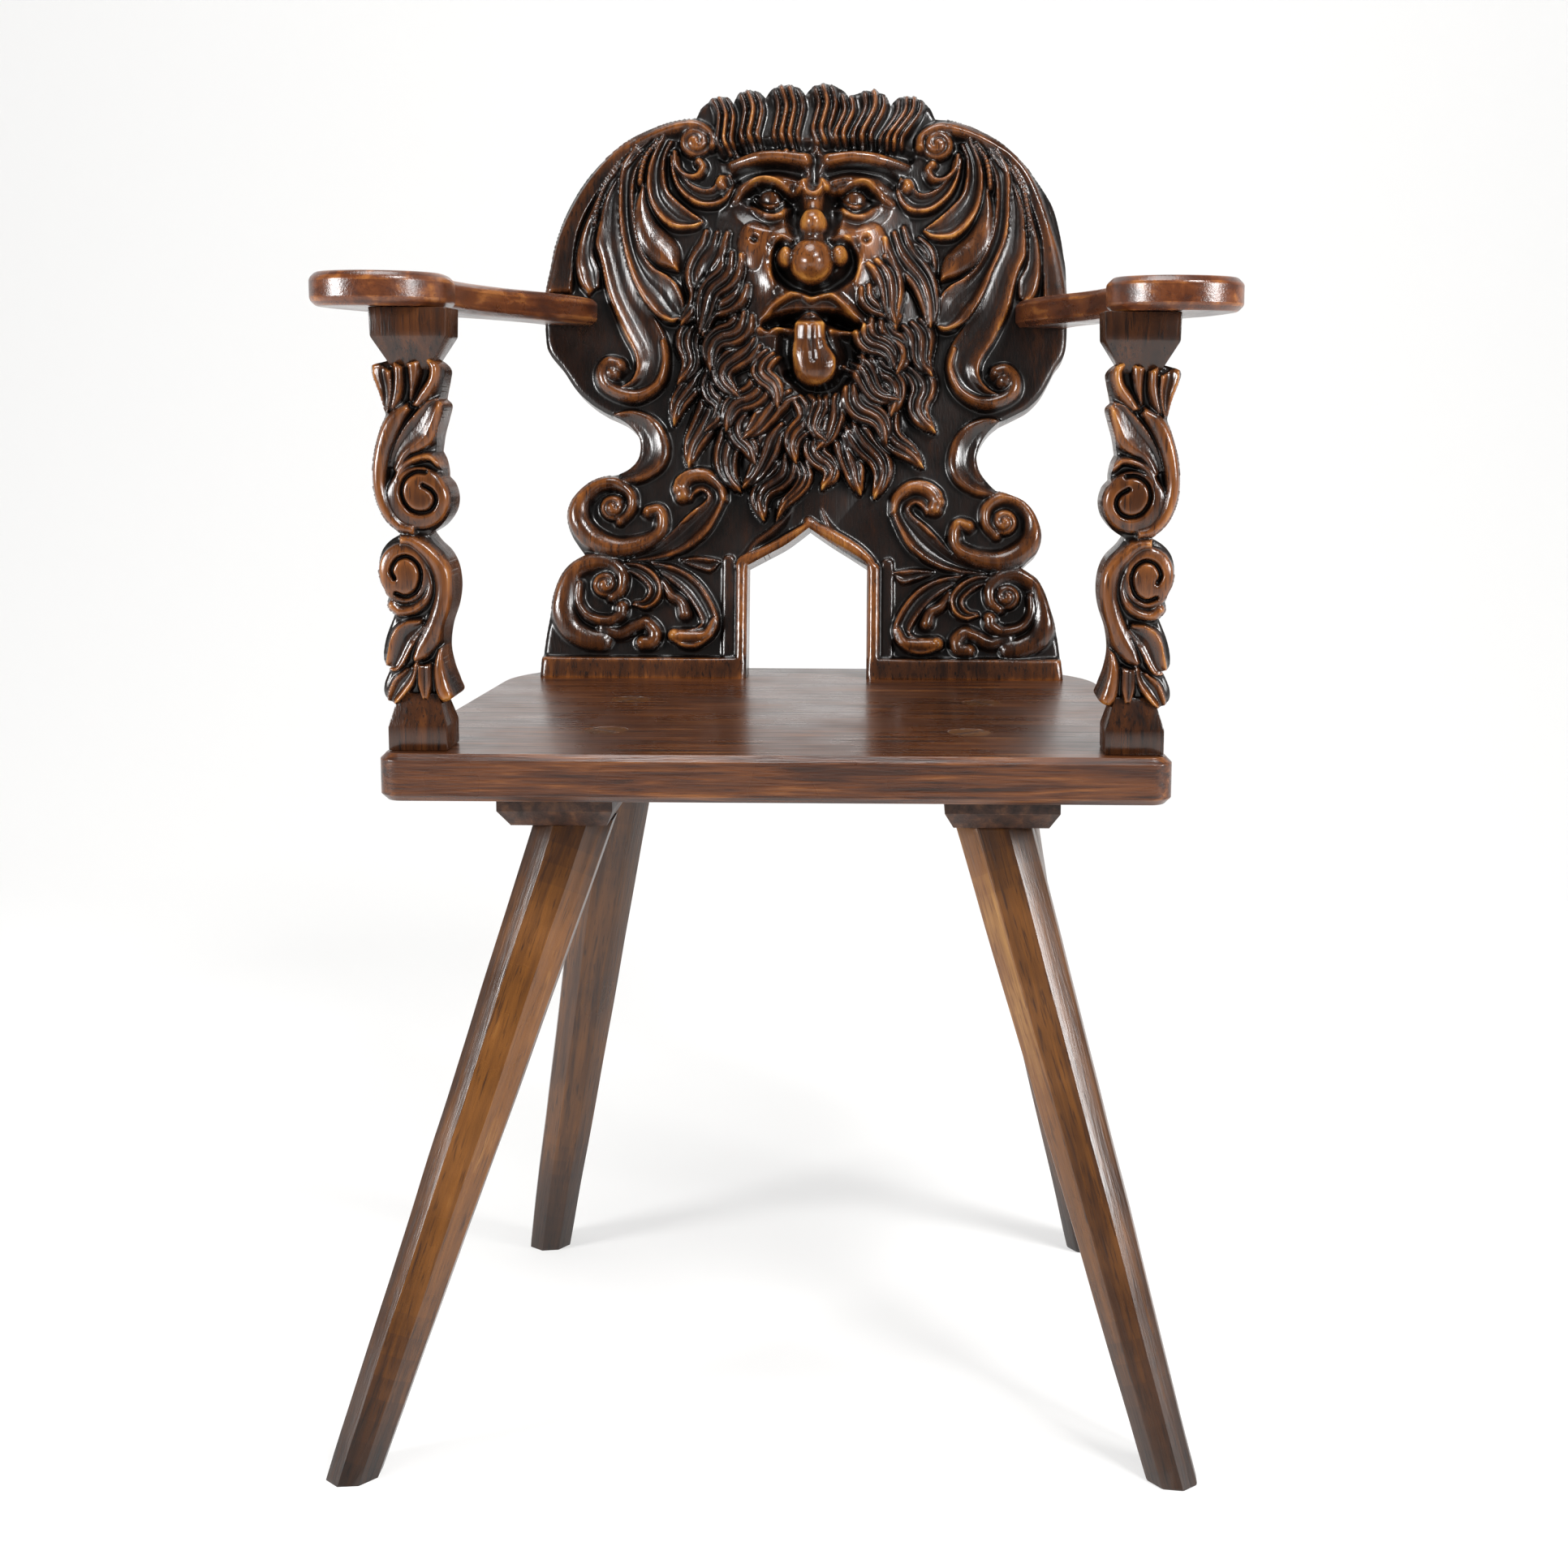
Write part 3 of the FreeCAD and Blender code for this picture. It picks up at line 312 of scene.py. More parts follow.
planed_leg = leg_tree()
taper = (LEG_TOP_MM - LEG_FOOT_MM) / 1000
for number, (corner, (foot, socket)) in enumerate(LEG_STANCES.items()):
    low = Vector((foot[0], foot[1] + FRONT_EDGE_MM, 0)) / 1000
    high = Vector((socket[0], socket[1] + FRONT_EDGE_MM, BATTEN_UNDERSIDE_MM)) / 1000
    run = high - low
    over = LEG_SPARE_MM / 1000 / run.z
    form = bmesh.new()
    form.from_mesh(grown(planed_leg, corner + "_bar", {
        "Foot": low - run * over, "Top": high + run * over, "Sides": 8, "Turn": math.pi / 8,
        "Foot Across": (LEG_FOOT_MM - FOOT_WORN_MM) / 1000 - taper * over,
        "Top Across": LEG_TOP_MM / 1000 + taper * over,
        "Waviness": LEG_WAVE_MM / 1000, "Seed": 3.0 + number, "Material": leg_walnut}))
    cut_off(form, 0, -1)
    cut_off(form, BATTEN_UNDERSIDE_MM, 1)
    arrises = [edge for edge in form.edges if edge.calc_face_angle(0) > math.radians(20)]
    rounded(form, arrises, LEG_ARRIS_MM, 2)
    middle = low + run * ((SEAT_TOP_MM + BATTEN_UNDERSIDE_MM) / 2000 / run.z)
    turned = Matrix.Translation(middle) @ run.to_track_quat("Z", "Y").to_matrix().to_4x4()
    tenon = bmesh.ops.create_cone(form, cap_ends=True, segments=40, radius1=LEG_TENON_MM / 2000,
                                  radius2=LEG_TENON_MM / 2000, depth=LEG_TENON_LENGTH_MM / 1000,
                                  matrix=turned)
    for vert in tenon["verts"]:
        if vert.co.z > middle.z:
            vert.co += run * (((SEAT_TOP_MM - TENON_SUNK_MM) / 1000 - vert.co.z) / run.z)
    bmesh.ops.recalc_face_normals(form, faces=form.faces)
    leg = settled(corner + "_planed_leg", form, 18)
    across = run.cross(Vector((0, 1, 0))).normalized()
    timber = Matrix((across, run.cross(across).normalized(), run.normalized()))
    grown_at = [tuple(timber @ (vert.co - low) + Vector((number, 0, number))) for vert in leg.data.vertices]
    mark(leg.data, "grain", "FLOAT_VECTOR", "POINT", grown_at)
    facing, lit_and_rubbed = LIT_AND_RUBBED_FLATS[corner]
    # Flats turned toward the light get a painted highlight, laid over the wear of hands
    toward_light = np.clip(np.array([face.normal for face in leg.data.polygons]) @ np.array(facing), 0, 1) ** 4
    height = np.array([face.center.z for face in leg.data.polygons])
    highlight_and_wear = toward_light * np.interp(height, np.linspace(0, 0.38, len(lit_and_rubbed)), lit_and_rubbed)
    # The height profile darkens the foot and paints shade on the leg just under the batten
    mark(leg.data, "tone", "FLOAT", "FACE", LEG_TONE + highlight_and_wear + np.interp(height, *LEG_FOOT_AND_SHADE_BY_HEIGHT))
    fitted(leg, leg_walnut, "leg_walnut", corner + "_leg")

# Leg wedges: thin walnut wedges driven into the tenons' ends and cut off flush with the seat.
# Only their end grain shows, a short dark line across each tenon.

# End-grain walnut: it drinks the wax, so it is darker and duller than the faces
pin_walnut = walnut(
    "end_grain_walnut", [(0.0, "#1c0d07"), (0.5, "#3c2213"), (1.0, "#63401f")],
    along=2, figure_mm=3, roughness=0.45, coat=0.1)
for corner in LEG_STANCES:
    fitted(softened(corner + "_tenon_wedge", corner + "_leg_wedge", 0.2), pin_walnut, "pin_walnut",
           corner + "_leg_wedge")

# Back board: one thick walnut board, sawn to a scrolled outline and carved in deep relief with a bearded
# mask between acanthus leaves, over scrolls and a keel arch. It leans back and is tenoned through the seat.
BACK_SETBACK_MM = 347.0
BACK_TILT = math.radians(12)
BOARD_MM = 26.0
CARVING_GAP_MM = 0.85
OUTLINE_GAP_MM = 0.5
# The parts of a carved piece's skin: edges between unlike parts stay sharp
FRONT, EDGE, CHAMFER, BACK = 1, 2, 3, 4


def curve(points, gap=1.0):
    """Close points along a smooth line through the given ones."""
    held = np.array(points, float)
    held = np.vstack([2 * held[0] - held[1], held, 2 * held[-1] - held[-2]])
    runs = []
    for a, b, c, d in zip(held, held[1:], held[2:], held[3:]):
        t = np.linspace(0, 1, int(np.hypot(*(c - b)) / gap) + 3)[:-1, None]
        runs.append(0.5 * (2 * b + (c - a) * t + (2 * a - 5 * b + 4 * c - d) * t ** 2
                           + (3 * b - a - 3 * c + d) * t ** 3))
    return np.vstack(runs + [held[-2:-1]])


def blurred(field, reach):
    """A field averaged three times over a square of the given reach in grid steps."""
    for _ in range(3):
        for turn in (0, 1):
            wide = np.pad(field, [(reach + 1, reach) if k == turn else (0, 0) for k in (0, 1)], mode="edge")
            total = np.cumsum(wide, axis=turn)
            ends = np.take(total, np.arange(2 * reach + 1, total.shape[turn]), axis=turn)
            starts = np.take(total, np.arange(0, total.shape[turn] - 2 * reach - 1), axis=turn)
            field = (ends - starts) / (2 * reach + 1)
    return field


def from_rim(inside, reach):
    """How far in each place lies: 0 on the rim and outside it, 1 at so many grid steps from it."""
    return np.clip(2 * (blurred(inside.astype(float), reach) - 0.5), 0, 1)


class Carving:
    """A carved face: heights in millimetres over an even grid, u across and v up."""

    def __init__(self, u_span, v_span, gap):
        self.gap = gap
        self.us = np.arange(u_span[0], u_span[1] + gap, gap)
        self.vs = np.arange(v_span[0], v_span[1] + gap, gap)
        self.u, self.v = np.meshgrid(self.us, self.vs)
        self.height = np.zeros_like(self.u)
        self.wear = np.zeros_like(self.u)

    def window(self, low, high):
        """The part of the grid between two corners."""
        rows = slice(*np.searchsorted(self.vs, [low[1], high[1]]))
        return rows, slice(*np.searchsorted(self.us, [low[0], high[0]]))

    def follow(self, path, reach, window=None):
        """Near a path: the window, the distance from it, the side (1 on its left) and the share along it."""
        window = window or self.window(path.min(0) - reach, path.max(0) + reach)
        u, v = self.u[window], self.v[window]
        away = np.full(u.shape, 1e9)
        nearest = np.zeros(u.shape, int)
        for k, (pu, pv) in enumerate(path):
            apart = (u - pu) ** 2 + (v - pv) ** 2
            closer = apart < away
            away[closer] = apart[closer]
            nearest[closer] = k
        heading = np.gradient(path, axis=0)[nearest]
        side = np.sign(heading[..., 0] * (v - path[nearest, 1]) - heading[..., 1] * (u - path[nearest, 0]))
        return window, np.sqrt(away), side, nearest / (len(path) - 1)

    def raise_to(self, window, lift, covered, under, worn):
        """Lays a form, worn more or less, on the ground under it, wherever it stands above what is there."""
        lifted = lift if under is None else under[window] + lift
        over = covered & (lifted > self.height[window])
        self.height[window] = np.where(over, lifted, self.height[window])
        self.wear[window] = np.where(over, worn, self.wear[window])

    def ridge(self, points, rise, crest, left, right, under=None, bulge=0.0, beads=0.0, worn=0.0):
        """A raised line: a crest of some half width, with hollowed flanks of their own width on each side."""
        path = curve(points)
        window, away, side, share = self.follow(path, np.max(crest) + max(np.max(left), np.max(right)))

        def along(sizes):
            return np.interp(share, np.linspace(0, 1, np.size(sizes)), np.atleast_1d(sizes))

        half = along(crest)
        flank = np.clip((away - half) / np.where(side > 0, along(left), along(right)), 0, 1)
        lift = along(rise) * (1 - bulge * np.clip(away / half, 0, 1) ** 2) * (1 - flank) ** 2
        if beads:
            lift *= 0.86 + 0.14 * np.cos(2 * np.pi * share * len(path) / beads)
        self.raise_to(window, lift, flank < 1, under, worn)

    def leaf(self, first, second, rise, section, worn):
        """A leaf between two edges, drawn from root to tip. Its section runs from the first to the second."""
        lip = 2.4
        first, second = curve(first), curve(second)
        loop = np.vstack([first, second[::-1]])
        window = self.window(loop.min(0) - 3, loop.max(0) + 3)
        _, from_first, _, share = self.follow(first, 0, window)
        _, from_second, _, _ = self.follow(second, 0, window)
        across = from_first / np.maximum(from_first + from_second, 1e-6)
        lift = np.interp(share, np.linspace(0, 1, len(rise)), rise)
        lift = lift * np.interp(across, np.linspace(0, 1, len(section)), section)
        inside = self.within(loop)[window]
        outside = np.minimum(from_first, from_second)
        lift = np.where(inside, lift, lift * np.clip(1 - outside / lip, 0, 1) ** 2)
        self.raise_to(window, lift, inside | (outside < lip), None, worn)

    def lock(self, points, half, under):
        """A lock of hair: a wavy tapering form that rises to its tip, cut clear of what lies round it."""
        rise, tip_rise, cut, clear = 8, 6.5, 4, 0.45
        window, away, side, share = self.follow(curve(points), half + 1)
        # Narrow at the root, full from a fifth of its length on, and drawn out to a point
        width = half * np.clip(0.55 + 2.2 * share, 0, 1) * np.sqrt(np.clip(1.04 - share ** 2.4, 0.02, 1))
        across = away * side / width
        # Round in section, with a sharper crest along its middle
        crest = 0.4 + 0.6 * np.abs(np.cos(np.pi * across / 2)) ** 0.7
        body = np.sqrt(np.clip(1 - across ** 2, 0, 1)) * crest
        beside = np.clip(1 + clear - np.abs(across), 0, clear) / clear
        self.height[window] -= cut * beside * np.clip(4 * share - 0.4, 0, 1)
        self.raise_to(window, tip_rise * share - 1 + rise * body, np.abs(across) < 1, under, -0.1)

    def hollow(self, points, depth, width):
        """A gouge along a line."""
        window, away, _, _ = self.follow(curve(points), width)
        self.height[window] -= depth * np.clip(1 - (away / width) ** 2, 0, 1) ** 1.5

    def oval(self, centre, radii):
        """The window about an oval, and how near each place is to its middle: 1 there and 0 on the rim."""
        centre, radii = np.array(centre, float), np.array(radii, float)
        window = self.window(centre - radii, centre + radii)
        out = ((self.u[window] - centre[0]) / radii[0]) ** 2 + ((self.v[window] - centre[1]) / radii[1]) ** 2
        return window, np.clip(1 - out, 0, 1)

    def dome(self, centre, radii, rise, under=None, power=0.5, worn=0.0):
        """A swelling with an oval foot."""
        window, near = self.oval(centre, radii)
        self.raise_to(window, rise * near ** power, near > 0, under, worn)

    def pit(self, centre, radii, depth):
        """A rounded sinking."""
        window, near = self.oval(centre, radii)
        self.height[window] -= depth * near ** 1.2

    def within(self, loop):
        """Which grid points lie inside a closed outline."""
        inside = np.zeros(self.u.shape, bool)
        start, end = loop, np.roll(loop, -1, axis=0)
        for row, v in enumerate(self.vs):
            crossed = (start[:, 1] > v) != (end[:, 1] > v)
            a, b = start[crossed], end[crossed]
            crossings = np.sort(a[:, 0] + (v - a[:, 1]) / (b[:, 1] - a[:, 1]) * (b[:, 0] - a[:, 0]))
            inside[row] = np.searchsorted(crossings, self.us) % 2 == 1
        return inside

    def weather(self, inside, smoothed, eased):
        """Takes the crispness off: smooths by a share, and eases the rim by so many millimetres."""
        rim = (1 - from_rim(inside, 3)) ** 2
        self.height = blurred(self.height, 1) * smoothed + self.height * (1 - smoothed) - eased * rim

    def tone(self):
        """How dark or light each place is: lighter on arrises and swellings, where they are rubbed, and
        darker in creases, hollows and on the low ground, partly from old wax and dust and partly as painted
        shade.
        """
        arris_mm, swelling_mm = 2, 7
        # Creases, hollows and the low ground are painted darker as shade, on top of the wax and dust that lie
        # there
        fine = self.height - blurred(self.height, max(1, round(arris_mm / self.gap)))
        broad = self.height - blurred(self.height, round(swelling_mm / self.gap))
        raised = 0.007 * np.clip(self.height, -6, 18)
        worn = 0.55 * blurred(self.wear, 1)
        return np.clip(0.16 + worn + raised + 0.1 * fine + 0.026 * np.clip(broad, -12, 6), 0.0, 1)


def right_hand(points):
    """The carver's right half: the left one mirrored, a little lower and wider, as it was freely drawn."""
    points = np.array(points, float)
    out, up = -points[:, 0], points[:, 1]
    spread = np.interp(up, [0, 70, 135, 185, 220, 250, 290, 326, 358, 395, 430],
                       [4, 4, 7, 6, 8, 3, 5, 4, 10, 12, 14])
    drop = np.interp(up, [0, 35, 70, 130, 180, 215, 250, 290, 358, 395, 430],
                     [0, 6, 8, 10, 8, 4, 4, 6, 7, 2, 1])
    return np.column_stack([out + spread * np.clip((208 - out) / 50, 0, 1), up - drop])


def spiral(centre, start, turns, outer, inner):
    """Points that wind in about a centre, from a starting angle in degrees."""
    steps = int(abs(turns) * 12)
    turn = np.radians(start) + np.linspace(0, turns * 2 * np.pi, steps + 1)
    reach = np.linspace(outer, inner, steps + 1)
    return [(centre[0] + r * math.cos(t), centre[1] + r * math.sin(t)) for r, t in zip(reach, turn)]


board = Carving((-212, 212), (-6, 478), CARVING_GAP_MM)

# The board's outline, up the left edge, over the crest and down the right edge, from corner to corner
LEFT_EDGE = [
    [(-205, -6), (-205, 0), (-203, 25), (-199, 50), (-196, 65), (-190, 80), (-181, 90), (-172, 95)],
    [(-172, 95), (-178, 103), (-184, 113), (-187, 126), (-184, 137), (-178, 145), (-169, 153), (-158, 158),
     (-148, 160), (-138, 165), (-132, 172), (-130, 180), (-131, 189), (-136, 196), (-144, 203), (-159, 210)],
    [(-159, 210), (-170, 217), (-182, 228), (-193, 244), (-203, 256), (-207, 268), (-208, 300), (-204, 324),
     (-201, 343), (-196, 362), (-189, 378), (-180, 394), (-170, 407), (-158, 418), (-144, 429), (-131, 436),
     (-115, 443), (-99, 447), (-90, 449)],
]
CREST = [(-90, 449), (-71, 467), (-60, 460), (-48, 471), (-34, 464), (-17, 475), (-2, 466), (14, 476),
         (33, 464), (52, 471), (66, 459), (82, 468), (102, 450)]
RIGHT_EDGE = [
    [(102, 450), (115, 449), (134, 441), (152, 431), (165, 420), (178, 407), (189, 392), (197, 377),
     (202, 358), (205, 340), (207, 322), (207, 266), (198, 247), (188, 228), (178, 217), (168, 211),
     (154, 204)],
    [(154, 204), (147, 198), (141, 190), (137, 181), (136, 173), (139, 163), (145, 155), (151, 149)],
    [(151, 149), (162, 145), (173, 140), (181, 131), (186, 119), (187, 110), (184, 100), (177, 93),
     (171, 87)],
    [(171, 87), (176, 84), (184, 78), (190, 67), (194, 55), (198, 42), (201, 26), (204, 0), (204, -6)],
]
ARCH_EDGE = [
    [(50, -6), (50, 88)], [(50, 88), (36, 97), (20, 107), (4, 118)],
    [(4, 118), (-13, 105), (-29, 96), (-44, 88)], [(-44, 88), (-44, -6)],
]
runs = [curve(run, OUTLINE_GAP_MM) for run in LEFT_EDGE]
for start, top, end in zip(CREST[::2], CREST[1::2], CREST[2::2]):
    shoulders = [(foot[0] * 0.72 + top[0] * 0.28, foot[1] * 0.4 + top[1] * 0.6) for foot in (start, end)]
    runs.append(curve([start, shoulders[0], top, shoulders[1], end], OUTLINE_GAP_MM))
runs += [curve(run, OUTLINE_GAP_MM) for run in RIGHT_EDGE + ARCH_EDGE]
outline = np.vstack([run[:-1] for run in runs])
inside = board.within(outline)

# The mask's swelling ground, widest at the cheeks and gone at the beard's tip: its half width and its height
# at each level
MASK_MIDDLE_MM = 5
LEVELS = [105, 150, 200, 250, 300, 350, 400, 430, 460]
half = np.interp(board.v, LEVELS, [8, 44, 76, 92, 96, 80, 72, 80, 84])
swell = np.interp(board.v, LEVELS, [0, 7, 12, 16, 19, 21, 20, 16, 8])
mask = swell * np.clip(1 - (np.abs(board.u - MASK_MIDDLE_MM) / half) ** 2.6, 0, 1) * (board.v > LEVELS[0])
board.height = np.maximum(board.height, mask)

# Acanthus leaves, left half: the two edges of each from root to tip, its height on the way, section and wear.
# GOUGED leaves have a rubbed rim on both sides of a hollow, and SWELLING ones are round.
GOUGED = (1.0, 0.85, 0.45, 0.3, 0.35, 0.55, 0.85)
SWELLING = (0.55, 0.9, 1.0, 0.9, 0.7, 0.4)
LEAVES = [
    ([(-98, 449), (-120, 442), (-145, 429), (-166, 408), (-184, 382), (-198, 350), (-206, 319), (-209, 304)],
     [(-105, 443), (-123, 434), (-140, 423), (-158, 403), (-173, 380), (-182, 360), (-186, 340), (-188, 307)],
     (7, 8, 8, 7), (0.7, 0.92, 1.0, 0.96, 0.88, 1.0), 0.02),
    ([(-108, 441), (-127, 430), (-147, 414), (-163, 393), (-174, 370), (-181, 350), (-184, 329), (-180, 314),
      (-173, 305)],
     [(-113, 438), (-132, 423), (-151, 404), (-162, 384), (-168, 365), (-171, 350), (-171, 337), (-166, 325),
      (-166, 311)],
     (8, 9, 10, 10), (0.8, 1.0, 0.85, 0.55, 0.42, 0.75), 0.02),
    ([(-132, 423), (-151, 401), (-161, 383), (-165, 365), (-168, 347), (-164, 332), (-161, 319), (-157, 304),
      (-151, 289), (-144, 273), (-136, 258), (-134, 246), (-138, 236), (-147, 230)],
     [(-140, 421), (-149, 407), (-152, 386), (-150, 360), (-144, 332), (-135, 307), (-122, 289), (-112, 270),
      (-109, 253), (-113, 239), (-126, 228), (-146, 226)],
     (9, 10, 11, 12, 11), (1.0, 0.85, 0.55, 0.45, 0.5, 0.65), 0.06),
    ([(-137, 426), (-148, 409), (-150, 386), (-149, 360), (-143, 332), (-135, 310), (-122, 291), (-108, 283),
      (-100, 286)],
     [(-132, 419), (-138, 404), (-140, 386), (-138, 363), (-132, 341), (-122, 327), (-111, 320), (-103, 312),
      (-98, 298), (-98, 288)], (10, 12, 13, 14), GOUGED, 0.04),
    ([(-132, 395), (-138, 376), (-138, 355), (-131, 340), (-118, 330), (-103, 325)],
     [(-131, 396), (-126, 378), (-120, 364), (-111, 354), (-104, 345), (-102, 336), (-103, 326)],
     (8, 11, 11, 9), SWELLING, 0.16),
    ([(-116, 434), (-125, 416), (-128, 399), (-126, 382), (-118, 368), (-106, 359), (-91, 359), (-83, 364)],
     [(-109, 431), (-114, 419), (-115, 404), (-112, 390), (-103, 380), (-92, 371), (-83, 365)],
     (10, 12, 13, 13), GOUGED, 0.04),
    ([(-110, 419), (-108, 404), (-102, 390), (-89, 379), (-75, 377), (-64, 383), (-59, 395), (-62, 403)],
     [(-104, 418), (-101, 405), (-94, 396), (-84, 391), (-76, 392), (-72, 398), (-70, 402)],
     (9, 11, 12, 13), GOUGED, 0.04),
    ([(-151, 208), (-136, 211), (-121, 206), (-111, 194), (-108, 178), (-113, 165), (-126, 156), (-142, 153)],
     [(-152, 206), (-143, 203), (-135, 195), (-131, 184), (-131, 174), (-136, 166), (-146, 160)],
     (6, 9, 9, 7), (0.85, 1.0, 0.75, 0.42, 0.35, 0.5), 0.06),
    ([(-138, 92), (-116, 93), (-96, 99), (-78, 112), (-68, 128), (-63, 143), (-67, 156), (-79, 164),
      (-91, 164), (-101, 157), (-102, 148), (-98, 140)],
     [(-133, 96), (-116, 105), (-103, 116), (-90, 129), (-79, 138), (-76, 144), (-81, 148), (-87, 145),
      (-90, 140)],
     (6, 9, 11, 12), GOUGED, 0.04),
    ([(-147, 90), (-130, 89), (-117, 81), (-112, 70), (-115, 59), (-124, 54), (-134, 57)],
     [(-141, 85), (-130, 79), (-122, 71), (-122, 65), (-126, 60), (-133, 59)], (6, 9, 11, 11), GOUGED, 0.04),
    ([(-122, 91), (-100, 86), (-84, 76), (-73, 61), (-67, 45), (-71, 33), (-83, 24), (-94, 24), (-103, 30),
      (-100, 36)],
     [(-113, 82), (-98, 71), (-87, 58), (-80, 45), (-82, 40), (-87, 38), (-95, 37)],
     (6, 9, 11, 12), GOUGED, 0.04),
    ([(-97, 93), (-81, 94), (-66, 92)], [(-95, 91), (-82, 86), (-73, 84), (-66, 91)],
     (4, 7, 7), GOUGED, 0.02),
]
for first, second, rise, section, worn in LEAVES:
    board.leaf(first, second, rise, section, worn)
    board.leaf(right_hand(first), right_hand(second), rise, section, worn)

# Bands, left half, each along its middle with its height, half width, flanks, bead spacing and wear:
# the roll into the upper volute, two beaded ribs, a crescent, the leaves' hooks and the lower half's scrolls
BANDS = [
    ([(-150, 420), (-126, 433), (-104, 441), (-88, 442), (-78, 436), (-77, 428)],
     (8, 10, 12, 13), (2, 3.4, 4.4, 4), 3, 4, 0, 0.08),
    ([(-121, 429), (-129, 419), (-133, 406), (-134, 396)], (10, 12.5, 12), 2.2, 3, 3, 4.4, 0.02),
    ([(-152, 411), (-161, 397), (-168, 377), (-170, 363)], (9, 11, 10), 2.2, 3, 3, 4.4, 0.02),
    ([(-107, 422), (-105, 410), (-97, 402), (-88, 402), (-84, 409), (-87, 414)],
     (9, 10, 11), (1.4, 2.0, 3.2), 3, 3, 0, 0.04),
    ([(-114, 267), (-112, 250), (-117, 233), (-131, 224), (-146, 225), (-158, 232), (-161, 242), (-156, 249),
      (-149, 248)],
     (11, 12, 12, 11), (2, 3.6, 5, 5.4, 5.4), 2.6, 6, 0, 0.08),
    ([(-123, 131), (-115, 132), (-112, 124), (-115, 113), (-129, 105), (-149, 102), (-167, 109), (-178, 123),
      (-177, 139), (-165, 151), (-150, 153), (-138, 145), (-137, 133), (-145, 123)],
     (11, 11, 11, 10, 9), (4, 4.5, 6.5, 8, 7.5, 5.5, 4, 3), 2.4, 4, 0, 0.16),
    ([(-64, 141), (-67, 152), (-78, 160), (-90, 159), (-97, 152), (-96, 144)],
     (11, 12, 12), (2.4, 4.8, 5.4, 5.4), 3, 3, 0, 0.18),
    ([(-158, 28), (-170, 30), (-183, 38), (-189, 52), (-188, 69), (-181, 84), (-166, 91), (-153, 90),
      (-144, 82), (-144, 70), (-150, 63)], (8, 9, 9, 9), (7, 8, 8, 6.6, 5.4, 4), 2.4, 4, 0, 0.12),
    ([(-177, 74), (-177, 58), (-168, 47), (-153, 44), (-144, 49), (-143, 55)],
     (7, 8, 9, 9), (2.6, 3.2, 3.8, 4.6), 3, 3, 0, 0.06),
    ([(-70, 45), (-76, 34), (-86, 32), (-96, 32)], (11, 12, 12), (2.6, 4.8, 5.4), 3, 3, 0, 0.16),
    ([(-111, 75), (-105, 65), (-96, 59), (-93, 50)], (6, 8, 9), (2.4, 3.4, 4.4), 3, 3, 0, 0.06),
    ([(-158, 38), (-144, 34), (-131, 40), (-123, 42), (-117, 35), (-119, 28), (-126, 27)],
     (6, 8, 10, 10), (3.8, 4.4, 4.4, 5.4, 5), 3, 3, 0, 0.08),
    ([(-45, 96), (-37, 107), (-24, 117), (-12, 131), (-5, 148)], (5, 6, 6, 5), 2.2, 3, 4, 0, 0.0),
]
for points, rise, crest, left, right, beads, worn in BANDS:
    board.ridge(points, rise, crest, left, right, bulge=0.4, beads=beads, worn=worn)
    board.ridge(right_hand(points), rise, crest, right, left, bulge=0.4, beads=beads, worn=worn)

# Knobs that close the hooks, then volute eyes: domed buttons with a groove that winds in to the middle
for centre, reach, rise in [((-67, 396), 7.5, 14), ((-154, 242), 8, 12), ((-99, 149), 6, 13),
                            ((-101, 33), 6, 13)]:
    for middle in (centre, right_hand([centre])[0]):
        board.dome(middle, (reach, reach), rise, worn=0.14)
for centre, reach, rise in [((-90, 430), 13, 14), ((-151, 134), 10.5, 12), ((-156, 73), 10.5, 11)]:
    for middle, hand in ((centre, 1), (right_hand([centre])[0], -1)):
        board.dome(middle, (reach, reach), rise, power=0.3, worn=0.16)
        turn = spiral(middle, 90 - 60 * hand, -1.1 * hand, reach * 0.86, reach * 0.25)
        board.hollow(turn, 2.8, 2.0)

# The mask's hair: lobes of wavy strands, combed back over the crest.
# Each lobe runs from its top to its foot, with a half width and a number of strands.
HAIR_WAVE_MM = 2.8
HAIR = [((-71, 466), (-62, 422), 8.5, 3), ((-48, 470), (-43, 427), 10, 3), ((-18, 474), (-14, 426), 13, 4),
        ((12, 475), (14, 432), 10, 3), ((31, 468), (27, 430), 6.5, 2), ((53, 471), (44, 429), 11, 3),
        ((82, 467), (66, 427), 12, 4)]
for top, foot, reach, strands in HAIR:
    for k in range(strands):
        aside = (2 * k - strands + 1) / strands
        line = []
        for share in (0, 0.25, 0.5, 0.75, 1):
            u = top[0] + share * (foot[0] - top[0]) + aside * reach * (1 - 0.1 * share)
            u += HAIR_WAVE_MM * math.sin(2 * math.pi * share)
            line.append((u, top[1] - 2 + share * (foot[1] - top[1])))
        rise = np.array([1, 7, 8, 4]) + 9 * (1 - aside ** 2)
        board.ridge(line, rise, 0.86 * reach / strands, 1.0, 1.0, under=mask * 0.7, bulge=0.6, worn=-0.16)

